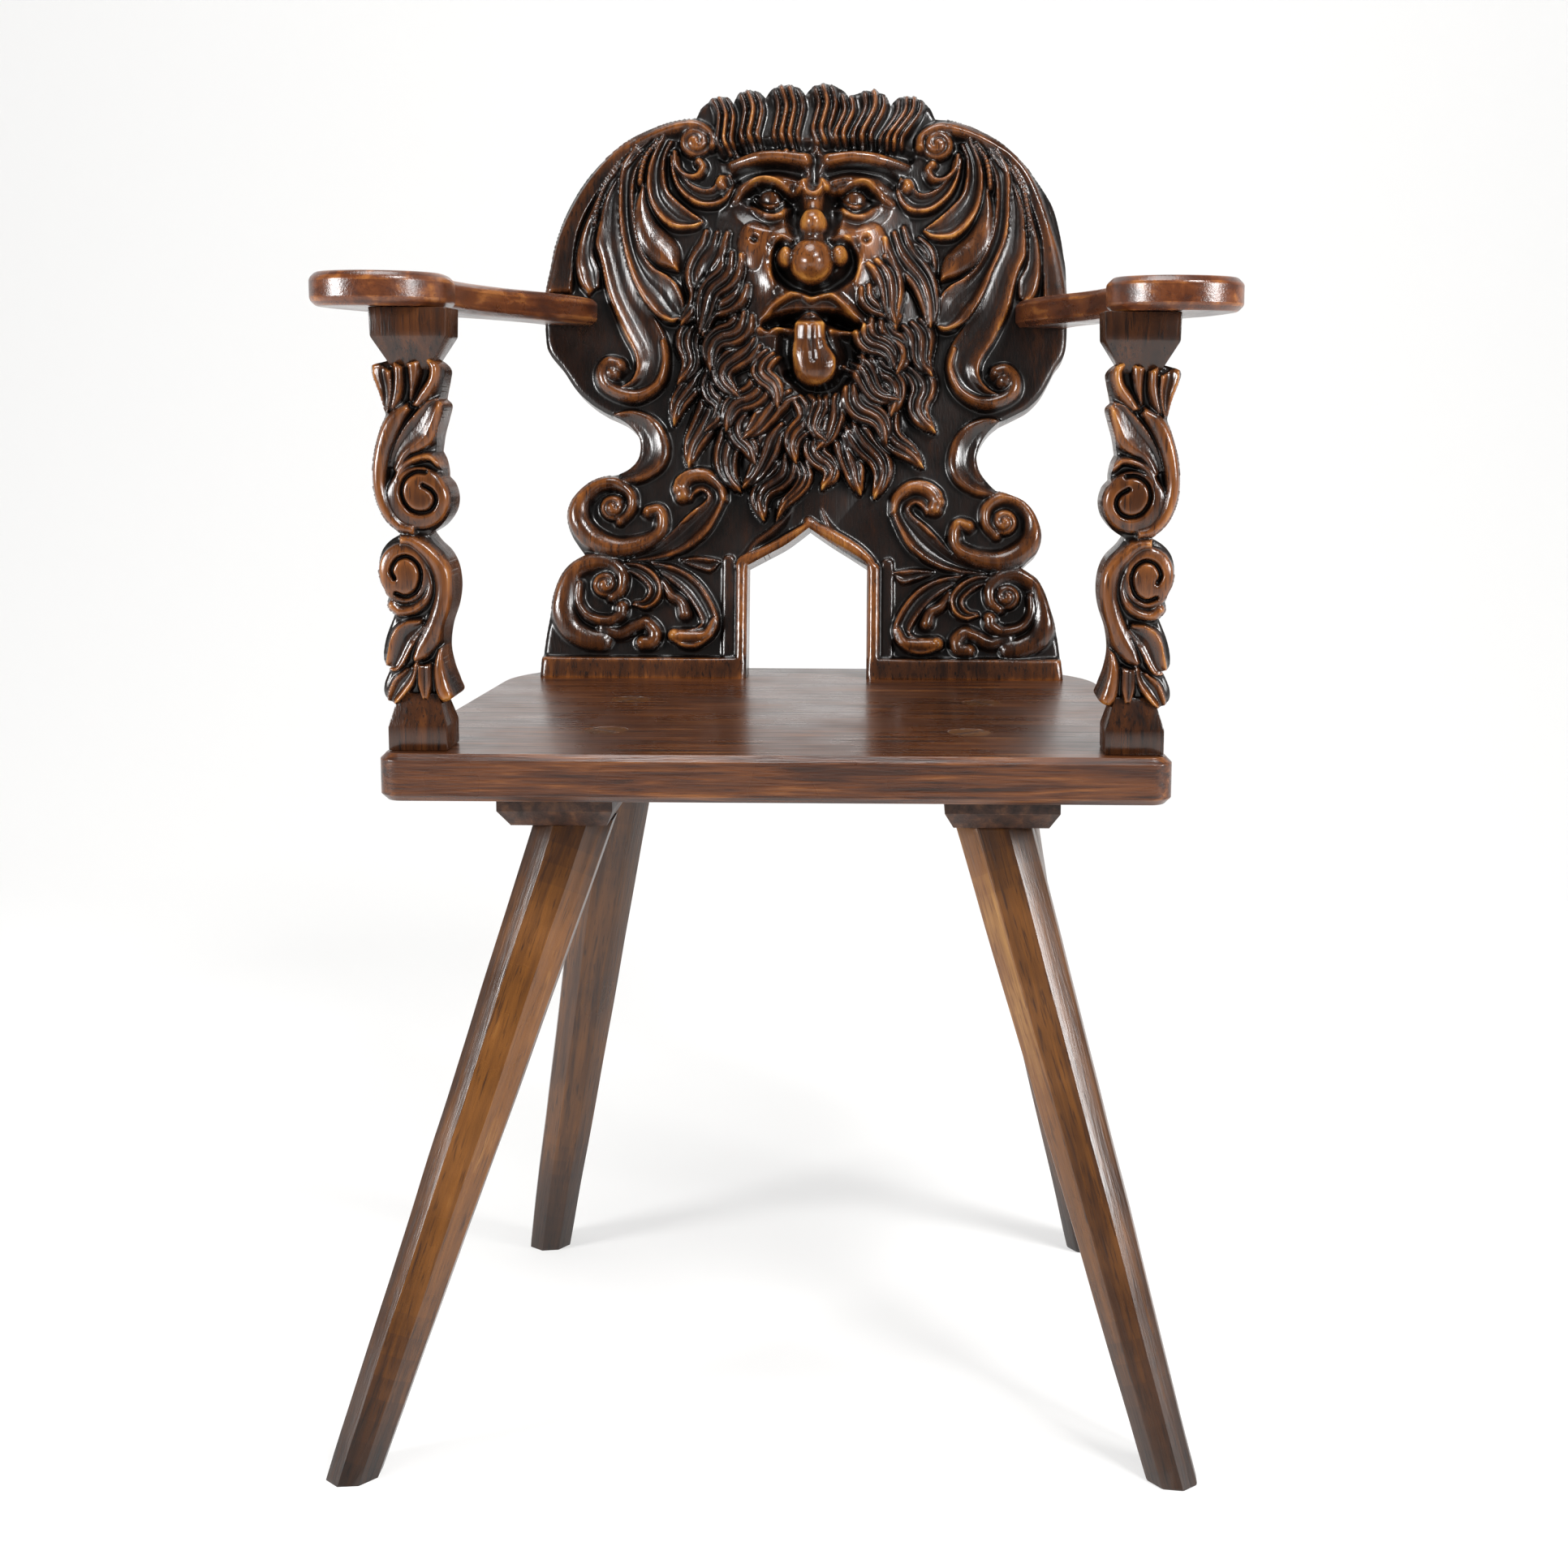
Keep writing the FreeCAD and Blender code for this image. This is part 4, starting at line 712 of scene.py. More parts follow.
# The mask's beard: tufts in rows from the lowest to the highest, each over the one below, with a half width.
# A tuft is three wavy locks that draw together to its tip, the middle one longest.
BEARD_WAVE_MM = 3.2
BEARD = [
    ([(-16, 178), (-21, 162), (-31, 147), (-33, 128)], 9), ([(10, 195), (11, 178), (18, 165), (16, 152)], 8),
    ([(28, 195), (33, 177), (42, 164), (43, 149)], 9), ([(38, 204), (50, 187), (58, 170), (57, 146)], 9),
    ([(-4, 172), (-3, 158), (-8, 142), (-20, 128)], 5), ([(66, 210), (70, 192), (78, 179), (91, 170)], 8),
    ([(-59, 205), (-63, 182), (-59, 166), (-53, 150)], 9),
    ([(-19, 202), (-28, 182), (-38, 170), (-46, 153)], 9),
    ([(-74, 228), (-80, 207), (-83, 190), (-91, 170)], 9),
    ([(-46, 212), (-51, 194), (-47, 182), (-40, 172)], 8), ([(-4, 224), (0, 207), (-6, 191), (-8, 174)], 8),
    ([(24, 226), (25, 211), (17, 198), (12, 184)], 8), ([(10, 226), (8, 212), (10, 200), (14, 190)], 6),
    ([(39, 234), (45, 217), (55, 206), (64, 190)], 9), ([(80, 250), (91, 232), (92, 216), (100, 198)], 9),
    ([(-13, 228), (-27, 213), (-38, 205), (-46, 192)], 9),
    ([(-85, 254), (-91, 237), (-95, 222), (-103, 204)], 8),
    ([(-66, 246), (-72, 230), (-68, 216), (-76, 198)], 8),
    ([(-34, 240), (-44, 226), (-54, 216), (-62, 200)], 9), ([(52, 262), (59, 246), (68, 235), (69, 212)], 9),
    ([(36, 252), (47, 238), (58, 229), (70, 222)], 8), ([(-26, 258), (-33, 244), (-28, 232), (-22, 218)], 7),
    ([(-42, 270), (-58, 256), (-64, 242), (-56, 226)], 9), ([(60, 292), (66, 272), (74, 262), (74, 246)], 9),
    ([(84, 284), (91, 266), (95, 256), (98, 244)], 9), ([(-88, 284), (-92, 266), (-94, 252), (-99, 236)], 8),
    ([(-50, 292), (-58, 278), (-70, 268), (-76, 248)], 9), ([(46, 282), (52, 270), (60, 262), (70, 250)], 8),
    ([(-54, 318), (-66, 302), (-76, 292), (-82, 276)], 10), ([(50, 314), (57, 300), (66, 290), (71, 282)], 8),
    ([(84, 350), (92, 336), (99, 318), (101, 300)], 7),
    ([(70, 356), (79, 341), (90, 322), (94, 304), (99, 284)], 10),
    ([(56, 334), (64, 318), (71, 302), (70, 286)], 9),
    ([(-72, 356), (-74, 340), (-86, 322), (-88, 304), (-97, 284)], 10),
    ([(-60, 340), (-66, 324), (-76, 310), (-78, 292), (-84, 278)], 9),
]
for number, (points, reach) in enumerate(BEARD):
    hung = curve(points)
    share = np.linspace(0, 1, len(hung))[:, None]
    heading = np.gradient(hung, axis=0)
    aside = np.column_stack([-heading[:, 1], heading[:, 0]]) / np.linalg.norm(heading, axis=1)[:, None]
    wave = BEARD_WAVE_MM * np.sin(2 * np.pi * share) * (-1) ** number
    for part, longer in ((-0.85, 0.3), (0.85, 0.15), (0.0, 0.7)):
        waved = hung + aside * (wave + part * reach * (1 - 0.75 * share ** 2))
        tip = waved[-1] + (waved[-1] - waved[-7]) * longer
        board.lock(np.vstack([waved[::6], tip]), reach * 0.58, mask)

# The mask's face: sockets, brows, eyes and their pouches, nose, cheeks, mouth and the tongue that hangs out
for centre, radii, depth in [((-31, 386), (26, 12), 12), ((38, 386), (26, 12), 12), ((-30, 378), (31, 21), 9),
                             ((38, 378), (31, 21), 9), ((-10, 374), (9, 22), 12), ((20, 374), (9, 22), 12)]:
    board.pit(centre, radii, depth)
FACE_HOLLOWS = [
    ([(-62, 397), (-46, 405), (-26, 408), (-6, 404)], 7, 7),
    ([(16, 404), (34, 408), (56, 405), (72, 396)], 7, 7), ([(-66, 419), (-40, 427), (0, 426)], 7, 7),
    ([(14, 426), (50, 427), (80, 419)], 7, 7),
    ([(-25, 345), (-25, 331), (-17, 319), (-4, 311), (6, 309), (16, 312), (30, 321), (37, 333), (37, 345)],
     9, 8),
    ([(-30, 281), (-12, 287), (4, 288), (22, 287), (39, 280)], 14, 7),
    ([(-15, 284), (-17, 262), (-12, 244)], 7, 8), ([(25, 284), (32, 268), (36, 254)], 9, 10),
    ([(-12, 242), (4, 229), (22, 231), (34, 244)], 6, 7),
]
for line, depth, width in FACE_HOLLOWS:
    board.hollow(line, depth, width)
ground = board.height.copy()
BROWS = [([(-60, 411), (-40, 417), (-23, 419), (-1, 416)], (4, 8, 9, 7), (3, 4.6, 5, 4.4)),
         ([(18, 416), (36, 419), (55, 417), (78, 411)], (7, 9, 8, 4), (4.4, 5, 4.6, 3))]
for line, rise, crest in BROWS:
    board.ridge(line, rise, crest, 3, 4, under=ground, bulge=0.3)
# Lids, folds, nose, lips and tongue: a line, its heights, its half width, and its left and right flanks
FACE_RIDGES = [
    ([(-58, 381), (-49, 391), (-38, 398), (-27, 397), (-17, 391), (-11, 388), (-5, 392), (-3, 398)],
     (3, 8, 8, 8, 6), 1.9, 4, 2.6),
    ([(-3, 397), (-1, 390), (5, 387), (10, 390), (12, 398)], (6, 8, 6), 1.7, 5, 2.6),
    ([(12, 398), (15, 392), (21, 389), (29, 391), (38, 395), (47, 396), (55, 390), (62, 383), (67, 380)],
     (6, 8, 8, 8, 3), 1.9, 4, 2.6),
    ([(-41, 386), (-34, 379), (-28, 378), (-20, 383)], (4, 10, 10, 4), 1.6, 2, 2.4),
    ([(28, 385), (34, 379), (40, 378), (48, 383)], (4, 10, 10, 4), 1.6, 2, 2.4),
    ([(-44, 377), (-33, 370), (-22, 370), (-14, 377)], (2, 8, 8, 2), 1.9, 2.4, 4),
    ([(24, 377), (35, 370), (46, 370), (55, 376)], (2, 8, 8, 2), 1.9, 2.4, 4),
    ([(-13, 351), (-20, 353), (-26, 348), (-29, 338), (-29, 324), (-27, 313)], (4, 8, 9, 8, 4), 1.5, 2.4, 14),
    ([(22, 352), (29, 353), (36, 349), (41, 339), (42, 328), (40, 316)], (4, 8, 9, 8, 4), 1.5, 14, 2.4),
    ([(5, 383), (5, 374), (5, 364), (5, 350)], (3, 9, 13, 15), (3, 4.6, 6, 8), 4, 4),
    ([(-33, 286), (-27, 295), (-18, 302), (-10, 306), (-3, 306), (4, 302), (12, 305), (21, 304), (32, 295),
      (42, 284)],
     (4, 8, 9, 8, 9, 8, 4), 2.0, 7, 2.6),
    ([(-38, 277), (-24, 278), (-10, 276)], (5, 8, 8), 1.8, 3, 5),
    ([(20, 276), (34, 275), (48, 280)], (8, 8, 5), 1.8, 3, 5),
    ([(3, 280), (3, 270), (4, 260), (7, 250)], (17, 16, 17, 16), (11.5, 12, 14.5, 17), 2.0, 2.0),
]
for points, rise, crest, left, right in FACE_RIDGES:
    board.ridge(points, rise, crest, left, right, under=ground, bulge=0.3, worn=0.13)
# Cheeks, eyeballs and nose: the middle, radii, height and wear of each swelling
FACE_DOMES = [
    ((-41, 346), (15, 20), 4, 0.28), ((50, 346), (15, 20), 4, 0.28), ((-30, 385), (9.5, 7), 12, 0.3),
    ((38, 385), (9.5, 7), 12, 0.3), ((5, 364), (12, 11), 22, 0.14), ((4, 334), (18.5, 20), 27, 0.16),
    ((-17, 337), (8.5, 9), 16, 0.16), ((25, 338), (8.5, 9), 16, 0.16),
]
for centre, radii, rise, worn in FACE_DOMES:
    board.dome(centre, radii, rise, under=ground, worn=worn)
board.hollow([(5, 418), (6, 405), (6, 399)], 5, 6)
board.hollow([(5, 280), (5, 268), (6, 254)], 2.6, 4)
for u in (-42, 47):
    board.pit((u, 351), (4.4, 4), 5)

# The arch's raised frame, with a step outside it, and the rail along the seat
for jamb in ([(-48, -6), (-48, 88)], [(55, -6), (55, 86)]):
    board.ridge(jamb, rise=8, crest=4.6, left=1.6, right=1.6, bulge=0.12, worn=0.3)
for step in ([(-59, 14), (-59, 92)], [(66, 14), (66, 90)]):
    board.ridge(step, rise=3.2, crest=4.2, left=1.6, right=1.6, bulge=0.1)
for sweep in ([(-49, 88), (-46, 92), (-31, 98), (-15, 107), (-1, 117), (4, 123)],
              [(4, 123), (10, 118), (22, 112), (38, 103), (50, 94), (55, 87)]):
    board.ridge(sweep, rise=(7, 9, 9, 8), crest=(4.5, 5, 4.5, 2.5), left=2, right=2, bulge=0.2, worn=0.26)
board.ridge([(-206, 6), (0, 6), (206, 6)], rise=8, crest=9, left=1.8, right=1.8, bulge=0.05, worn=0.14)

# Wear takes the crispness off the carving and eases its edge all round
board.weather(inside, 0.55, 3.0)
# The tone holds painted shade in the hollows as well as the wear of the rims
tone = board.tone()

# The forms are drawn as they look from in front: on the leaning board, what stands proud sits lower
EYE_MM = 79
EYE_AWAY_MM = 1614
LOWER_AT_SEAT, LOWER_PER_MM = 0.067, 0.00062
proud = blurred(board.height, 9) * from_rim(inside, 8)
board.u += proud * (EYE_MM - board.u) / EYE_AWAY_MM
board.v -= proud * (LOWER_AT_SEAT + LOWER_PER_MM * board.v)


def on_board(u, v, w):
    """From the board's own frame, w out from its ground, to the chair's, in metres."""
    y = FRONT_EDGE_MM + BACK_SETBACK_MM + v * math.sin(BACK_TILT) - w * math.cos(BACK_TILT)
    z = SEAT_TOP_MM + v * math.cos(BACK_TILT) + w * math.sin(BACK_TILT)
    return np.column_stack([u, y, z]) / 1000


def rim_rings(quads):
    """The closed rings of points along the open rim of a sheet of quads."""
    sides = np.vstack([quads[:, [k, (k + 1) % 4]] for k in range(4)])
    backwards = set(map(tuple, sides[:, ::-1]))
    following = {}
    for side in map(tuple, sides):
        if side not in backwards:
            following.setdefault(side[0], []).append(side[1])
    rings = []
    while following:
        ring = [next(iter(following))]
        while True:
            ahead = following[ring[-1]]
            step = ahead.pop()
            if not ahead:
                del following[ring[-1]]
            if step == ring[0]:
                break
            ring.append(step)
        rings.append(np.array(ring))
    return rings


def facings(carving, place):
    """The way each grid point of a carved face looks, in the chair's frame."""
    up, across = zip(*(np.gradient(field) for field in (carving.u, carving.v, carving.height)))
    looks = np.cross(np.stack(across, -1), np.stack(up, -1)).reshape(-1, 3)
    looks = looks @ (place(*np.eye(3)) - place(*np.zeros((3, 3))))
    return looks / np.linalg.norm(looks, axis=1)[:, None]


def read(items, field, kind, width=1):
    """One value of each item of a mesh, as an array."""
    values = np.empty(len(items) * width, kind)
    items.foreach_get(field, values)
    return values


def carved_piece(name, carving, kept, loop, depth, place, tones, seams=()):
    """A closed mesh of a carved face with its edges, chamfer and flat back. A seam is a straight cut."""
    chamfer_wide, chamfer_high = 0.7, 0.8
    edge_tone, back_tone = 0.4, 0.44
    rows, cols = np.nonzero(kept)
    wide = carving.u.shape[1]
    lowest = rows * wide + cols
    used, quads = np.unique(np.column_stack([lowest, lowest + 1, lowest + wide + 1, lowest + wide]),
                            return_inverse=True)
    quads = quads.reshape(-1, 4)
    front = np.column_stack([field.ravel()[used] for field in (carving.u, carving.v, carving.height)])
    plan = front[:, :2].copy()
    faces, parts = quads.tolist(), [FRONT] * len(quads)
    spots, shades, count = [front], [tones.ravel()[used]], len(used)
    under = {}
    for ring in rim_rings(quads):
        size = len(ring)
        free = np.ones(size, bool)
        for seam in seams:
            free &= np.abs(carving.us[used[ring] % wide] - seam) > carving.gap / 2
        edge = plan[ring]
        apart = ((edge[:, None, :] - loop[None, :, :]) ** 2).sum(2)
        edge[free] = loop[apart.argmin(1)][free]
        front[ring, :2] = edge
        ahead = np.roll(edge, -2, axis=0) - np.roll(edge, 2, axis=0)
        outward = np.column_stack([ahead[:, 1], -ahead[:, 0]])
        outward /= np.maximum(np.linalg.norm(outward, axis=1), 1e-6)[:, None]
        inset = edge - outward * np.where(free, chamfer_wide, 0)[:, None]
        spots += [np.column_stack([edge, np.full(size, chamfer_high - depth)]),
                  np.column_stack([inset, np.full(size, -depth)])]
        shades += [np.full(size, edge_tone), np.full(size, back_tone)]
        low, base = count + np.arange(size), count + size + np.arange(size)
        count += 2 * size
        after = np.roll(np.arange(size), -1)
        for part, upper, lower in ((EDGE, ring, low), (CHAMFER, low, base)):
            faces += np.column_stack([upper[after], upper, lower, lower[after]]).tolist()
            parts += [part] * size
        under.update(zip(used[ring].tolist(), base.tolist()))
    for row in np.unique(rows):
        steps = np.sort(cols[rows == row])
        for run in np.split(steps, np.nonzero(np.diff(steps) > 1)[0] + 1):
            line = range(row * wide + run[0], row * wide + run[-1] + 2)
            strip = [under[k + wide] for k in line if k + wide in under]
            faces.append(strip + [under[k] for k in reversed(line) if k in under])
            parts.append(BACK)
    mesh = bpy.data.meshes.new(name)
    mesh.from_pydata(place(*np.vstack(spots).T).tolist(), [], faces)
    facing = np.vstack([facings(carving, place)[used], np.zeros((count - len(used), 3))])
    mark(mesh, "facing", "FLOAT_VECTOR", "POINT", facing)
    mark(mesh, "tone", "FLOAT", "POINT", np.concatenate(shades))
    mark(mesh, "part", "INT", "FACE", parts)
    form = bmesh.new()
    form.from_mesh(mesh)
    bmesh.ops.remove_doubles(form, verts=form.verts, dist=5e-6)
    cut_off(form, SEAT_TOP_MM, -1)
    part = form.faces.layers.int["part"]
    for edge in form.edges:
        edge.smooth = len({face[part] for face in edge.link_faces}) == 1
    form.to_mesh(mesh)
    form.free()
    mesh.shade_smooth()
    corners = read(mesh.loops, "vertex_index", np.int32)
    normals = read(mesh.attributes["facing"].data, "vector", np.float32, 3).reshape(-1, 3)[corners]
    kinds = read(mesh.attributes["part"].data, "value", np.int32)
    normals[np.repeat(kinds, read(mesh.polygons, "loop_total", np.int32)) != FRONT] = 0
    for passing in ("facing", "part"):
        mesh.attributes.remove(mesh.attributes[passing])
    mesh.normals_split_custom_set(normals.tolist())
    return linked(name, mesh)


def shaded(mesh, value):
    """Gives plain stock the one tone of a face that is neither rubbed nor sunk."""
    mark(mesh, "tone", "FLOAT", "POINT", [value] * len(mesh.vertices))


def whole_cells(inside):
    """The grid cells that have all four corners inside."""
    return inside[:-1, :-1] & inside[1:, :-1] & inside[:-1, 1:] & inside[1:, 1:]


# Carved walnut: rims rubbed to a warm orange-brown, near-black grounds that are partly old wax and dust and
# partly painted shade, and a hard shine on every swelling
carved_walnut = walnut(
    "carved_waxed_walnut",
    [(0.0, "#050201"), (0.2, "#170a05"), (0.4, "#3b1f0d"), (0.6, "#6b3d19"), (0.8, "#a06a2e"),
     (1.0, "#cb9854")],
    along=2, figure_mm=7, roughness=0.21, coat=0.12, tone="tone")
middles = (board.us[:-1] + board.us[1:]) / 2
LEFT_SEAM, RIGHT_SEAM = board.us[np.searchsorted(board.us, [-72, 78])]
for name, low, high in [("back_left_scrolls", -np.inf, LEFT_SEAM),
                        ("back_bearded_mask", LEFT_SEAM, RIGHT_SEAM),
                        ("back_right_scrolls", RIGHT_SEAM, np.inf)]:
    kept = whole_cells(inside) & (middles > low) & (middles < high)
    panel = carved_piece(name, board, kept, outline, BOARD_MM, on_board, tone, (LEFT_SEAM, RIGHT_SEAM))
    fitted(panel, carved_walnut, "carved_walnut", "back_board")

# Back tenons: the board's own two tenons, which go down through the seat and the battens.
# They are planed, not carved, and each has a slot for a key.
form = bmesh.new()
form.from_mesh(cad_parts["back_board"].data)
bmesh.ops.remove_doubles(form, verts=form.verts, dist=1e-5)
cut_off(form, SEAT_TOP_MM - TENON_SUNK_MM, 1)
bmesh.ops.recalc_face_normals(form, faces=form.faces)
tenons = settled("back_tenons", form, 18)
shaded(tenons.data, 0.35)
fitted(tenons, carved_walnut, "carved_walnut", "back_board")

# Back keys: two walnut bars of oblong section under the battens, of the same dry timber.
# Driven through the tenons' slots, they draw the back down on the seat.
for side in ("left", "right"):
    fitted(softened(side + "_tenon_key", side + "_back_key", 0.8), underside_walnut, "underside_walnut",
           side + "_back_key")

# Arm posts: a pair of sawn walnut balusters, each two leafy scrolls that meet back to back at a narrow waist.
# They stand tenoned between square blocks on the seat and flared heads under the arms; the fronts are carved.
POST_X_MM = 223.5
POST_Y_MM = 29.0
POST_GROUND_MM = 9.0
POST_DEPTH_MM = 24.0
POST_CARVING_GAP_MM = 0.6
POST_OUTLINE_GAP_MM = 0.4
POST_RUBBED = 0.08
POST_OUTER = [
    [(9, 243), (24, 238), (22.9, 230), (19.4, 221), (17, 209), (19.2, 201), (23.4, 187), (25.2, 175),
     (25, 162), (22.3, 152), (16.9, 143), (8.5, 135.5)],
    [(8.5, 135.5), (16.2, 131), (21.4, 124.6), (23.5, 116), (22.5, 107.6), (19.3, 100.8), (18.2, 96),
     (18.6, 90.7), (14.5, 85)],
    [(14.5, 85), (19.8, 72), (22.1, 62), (21.7, 55), (16.7, 52.5)],
    [(16.7, 52.5), (19.3, 48.3), (22.5, 40), (21.6, 33), (14, 29)],
]
POST_INNER = [
    [(-14, 29), (-22.8, 34.7), (-21.2, 41.5), (-17.7, 51.7), (-15.7, 63.6), (-17.3, 77), (-21.7, 90.7),
     (-23.3, 102.5), (-22, 114), (-18, 122.9), (-11.4, 129.7), (-7.5, 135)],
    [(-7.5, 135), (-15, 140), (-21, 148), (-22.9, 156.8), (-21, 165), (-17, 170)],
    [(-17, 170), (-17, 174), (-15.7, 180.5), (-13.3, 185.6)],
    [(-13.3, 185.6), (-15, 196), (-17.8, 206), (-19.6, 214), (-16.5, 218)],
    [(-16.5, 218), (-17.5, 223), (-19, 230), (-19.5, 236), (-15, 241), (-9, 243)],
]
post = Carving((-30, 30), (24, 246), POST_CARVING_GAP_MM)
post_loop = np.vstack([curve(run, POST_OUTLINE_GAP_MM)[:-1] for run in POST_OUTER + POST_INNER])
# Carved forms of a right-hand post: scrolls, petals of the flare at the top, a leaf and petals below
ROUND = (0.62, 0.92, 1.0, 0.92, 0.62)
POST_LEAVES = [
    ([(2.5, 215), (12, 210.5), (19.5, 200), (23.5, 186), (25, 172), (23.5, 158), (18.5, 145.5), (10.5, 137.5),
      (0, 135)],
     [(1, 211.5), (6, 203.5), (11, 193), (15, 180.5), (17, 168.5), (15.5, 158), (11, 148.5), (6, 143),
      (0, 141)],
     (7, 8.5, 8.5, 8.5), ROUND, 0.12),
    ([(-19, 217), (-16.5, 203.5), (-12.5, 193), (-5.5, 187.5), (2.5, 183.5), (9.5, 173.5)],
     [(-16.5, 218.5), (-10, 216.5), (-2.5, 209), (5, 200), (11.5, 187.5), (14.5, 177)],
     (8, 7.5, 7, 6), (0.9, 1.0, 0.65, 0.45, 0.8), 0.1),
    ([(-18.5, 241), (-17, 230), (-12.5, 220.5), (-5, 213.5)],
     [(-8, 243.5), (-12, 237.5), (-11, 230), (-5.5, 222.5), (-1, 214.5)], (8, 7.5, 6.5), ROUND, 0.12),
    ([(-5.5, 242), (-5, 233.5), (-2.5, 224.5), (0, 217.5)], [(2, 240), (1, 231.5), (0.5, 224.5), (0.5, 218)],
     (7, 6.5, 6), ROUND, 0.04),
    ([(4.5, 237.5), (4.5, 228), (6.5, 220), (10.5, 211.5)],
     [(10, 240.5), (10, 233.5), (10.5, 224.5), (12.5, 212.5)], (8, 7.5, 6.5), ROUND, 0.1),
    ([(12, 235), (11.5, 226.5), (12.5, 217.5), (15, 210)],
     [(23.5, 242), (22.5, 231.5), (19.5, 223), (16.5, 210.5)], (8, 7.5, 6.5), GOUGED, 0.12),
    ([(9, 135), (1, 134.5), (-8, 130), (-17.5, 121), (-22.5, 112.5), (-23, 100), (-20.5, 84), (-15, 70),
      (-6.5, 59.5), (1.5, 56)],
     [(9, 129), (2.5, 128), (-4, 122), (-10, 114), (-12.5, 102), (-10, 89.5), (-5, 77), (0.5, 66.5),
      (2.5, 58)],
     (8.5, 8.5, 8.5, 7), ROUND, 0.12),
    ([(-2.5, 81.5), (7, 80.5), (15, 73), (20, 52.5)], [(-5, 78), (2.5, 66), (11.5, 51.5), (19.5, 51)],
     (7, 8, 8), (0.9, 0.75, 0.45, 0.5, 0.9), 0.12),
    ([(-18, 68.5), (-17.5, 52.5), (-20, 40.5), (-24, 31.5)],
     [(-13, 63), (-10, 51), (-11.5, 37), (-15.5, 30.5)], (6.5, 7.5, 8), ROUND, 0.12),
    ([(-8, 54.5), (-8, 42), (-5.5, 32.5)], [(-0.5, 53.5), (-0.5, 42), (-3, 32.5)],
     (6.5, 7, 7), (0.9, 0.8, 0.6, 0.8, 0.9), 0.1),
    ([(0, 56), (2.5, 44), (10, 33.5), (17, 27.5)], [(7, 51), (15, 44), (19, 33.5), (18, 28)],
     (7, 7.5, 8), GOUGED, 0.14),
]
for first, second, rise, section, worn in POST_LEAVES:
    post.leaf(first, second, rise, section, worn)
POST_BANDS = [
    ([(-16.5, 178.5), (-10.5, 183), (-2.5, 182), (5, 177.5), (9.5, 170), (10.5, 161.5)],
     (7, 7.5, 6), 2.0, 2, 2),
    ([(-8, 113), (-9.5, 103.5), (-6.5, 95), (1, 89), (9.5, 87.5), (14.5, 91)],
     (6, 7.5, 7.5), (1.8, 2.6, 3.4), 2, 2),
]
for points, rise, crest, left, right in POST_BANDS:
    post.ridge(points, rise, crest, left, right, bulge=0.4, worn=0.08)
# Each scroll ends in a flat boss with one deep groove that winds in to the middle
POST_BOSSES = [
    ((-2.5, 157.5), (20, 19.5),
     [(-6.5, 165.5), (-12, 162), (-14, 156.5), (-11, 150.5), (-5, 148.5), (1.5, 150.5), (6, 156.5), (7, 163),
      (4.5, 169.5), (-1.5, 173.5), (-8, 173.5)]),
    ((7, 111), (16.5, 19.5),
     [(12.5, 108), (14.5, 113), (11, 119.5), (5, 121.5), (-0.5, 118.5), (-3.5, 112.5), (-3, 105.5), (0, 99.5),
      (6, 96.5), (12, 98.5)]),
]
for centre, radii, groove in POST_BOSSES:
    post.dome(centre, radii, 8.2, power=0.22, worn=0.1)
    post.hollow(groove, 6, 1.8)
post_inside = post.within(post_loop)
post.weather(post_inside, 0.5, 2.2)
# The plain ends with their tenons, from below: height over the floor, half width and half depth
POST_BLOCK = [(421, 8, 8), (440, 8, 8), (440.2, 18.5, 17), (456, 18.5, 17), (472, 13.5, 12.5), (476, 12, 11)]
POST_HEAD = [(676, 11, 10), (680, 13.5, 12.5), (696, 23, 18.5), (713.8, 23.5, 19), (714, 8, 8), (726, 8, 8)]
POST_ARRIS_MM = 0.9


def stepped_bar(name, levels, x):
    """A square bar that changes size at given heights: rings of half width and depth, joined flat."""
    form = bmesh.new()
    y = FRONT_EDGE_MM + POST_Y_MM
    rings = []
    for z, across, deep in levels:
        corners = [(x - across, y - deep), (x + across, y - deep), (x + across, y + deep),
                   (x - across, y + deep)]
        rings.append([form.verts.new((a / 1000, b / 1000, z / 1000)) for a, b in corners])
    for low, high in zip(rings, rings[1:]):
        for k in range(4):
            form.faces.new((low[k], low[(k + 1) % 4], high[(k + 1) % 4], high[k]))
    form.faces.new(rings[0][::-1])
    form.faces.new(rings[-1])
    rounded(form, form.edges[:], POST_ARRIS_MM, 2)
    bar = settled(name, form, 35)
    shaded(bar.data, 0.34)
    return bar


def on_post(hand):
    """The way from a post's own frame to the chair's, in metres. The left post is -1, the right one 1."""
    def place(u, v, w):
        y = FRONT_EDGE_MM + POST_Y_MM - POST_GROUND_MM - w
        return np.column_stack([hand * POST_X_MM + u, y, SEAT_TOP_MM + v]) / 1000
    return place


# Each turn mirrors the carved form, so that the left post mirrors the right one
for side, hand in (("left", -1), ("right", 1)):
    post.height, post_inside = np.fliplr(post.height), np.fliplr(post_inside)
    post_loop = post_loop[::-1] * (-1, 1)
    body = carved_piece(side + "_post_scrolls", post, whole_cells(post_inside), post_loop, POST_DEPTH_MM,
                        on_post(hand), post.tone() + POST_RUBBED)
    block = stepped_bar(side + "_post_block", POST_BLOCK, hand * POST_X_MM)
    head = stepped_bar(side + "_post_head", POST_HEAD, hand * POST_X_MM)
    for piece in (body, block, head):
        fitted(piece, carved_walnut, "carved_walnut", side + "_arm_post")

# Arms: two sawn walnut arms, round paddles in front that sweep in to the back, housed there and pegged.
# Their arrises are worn round by hands.

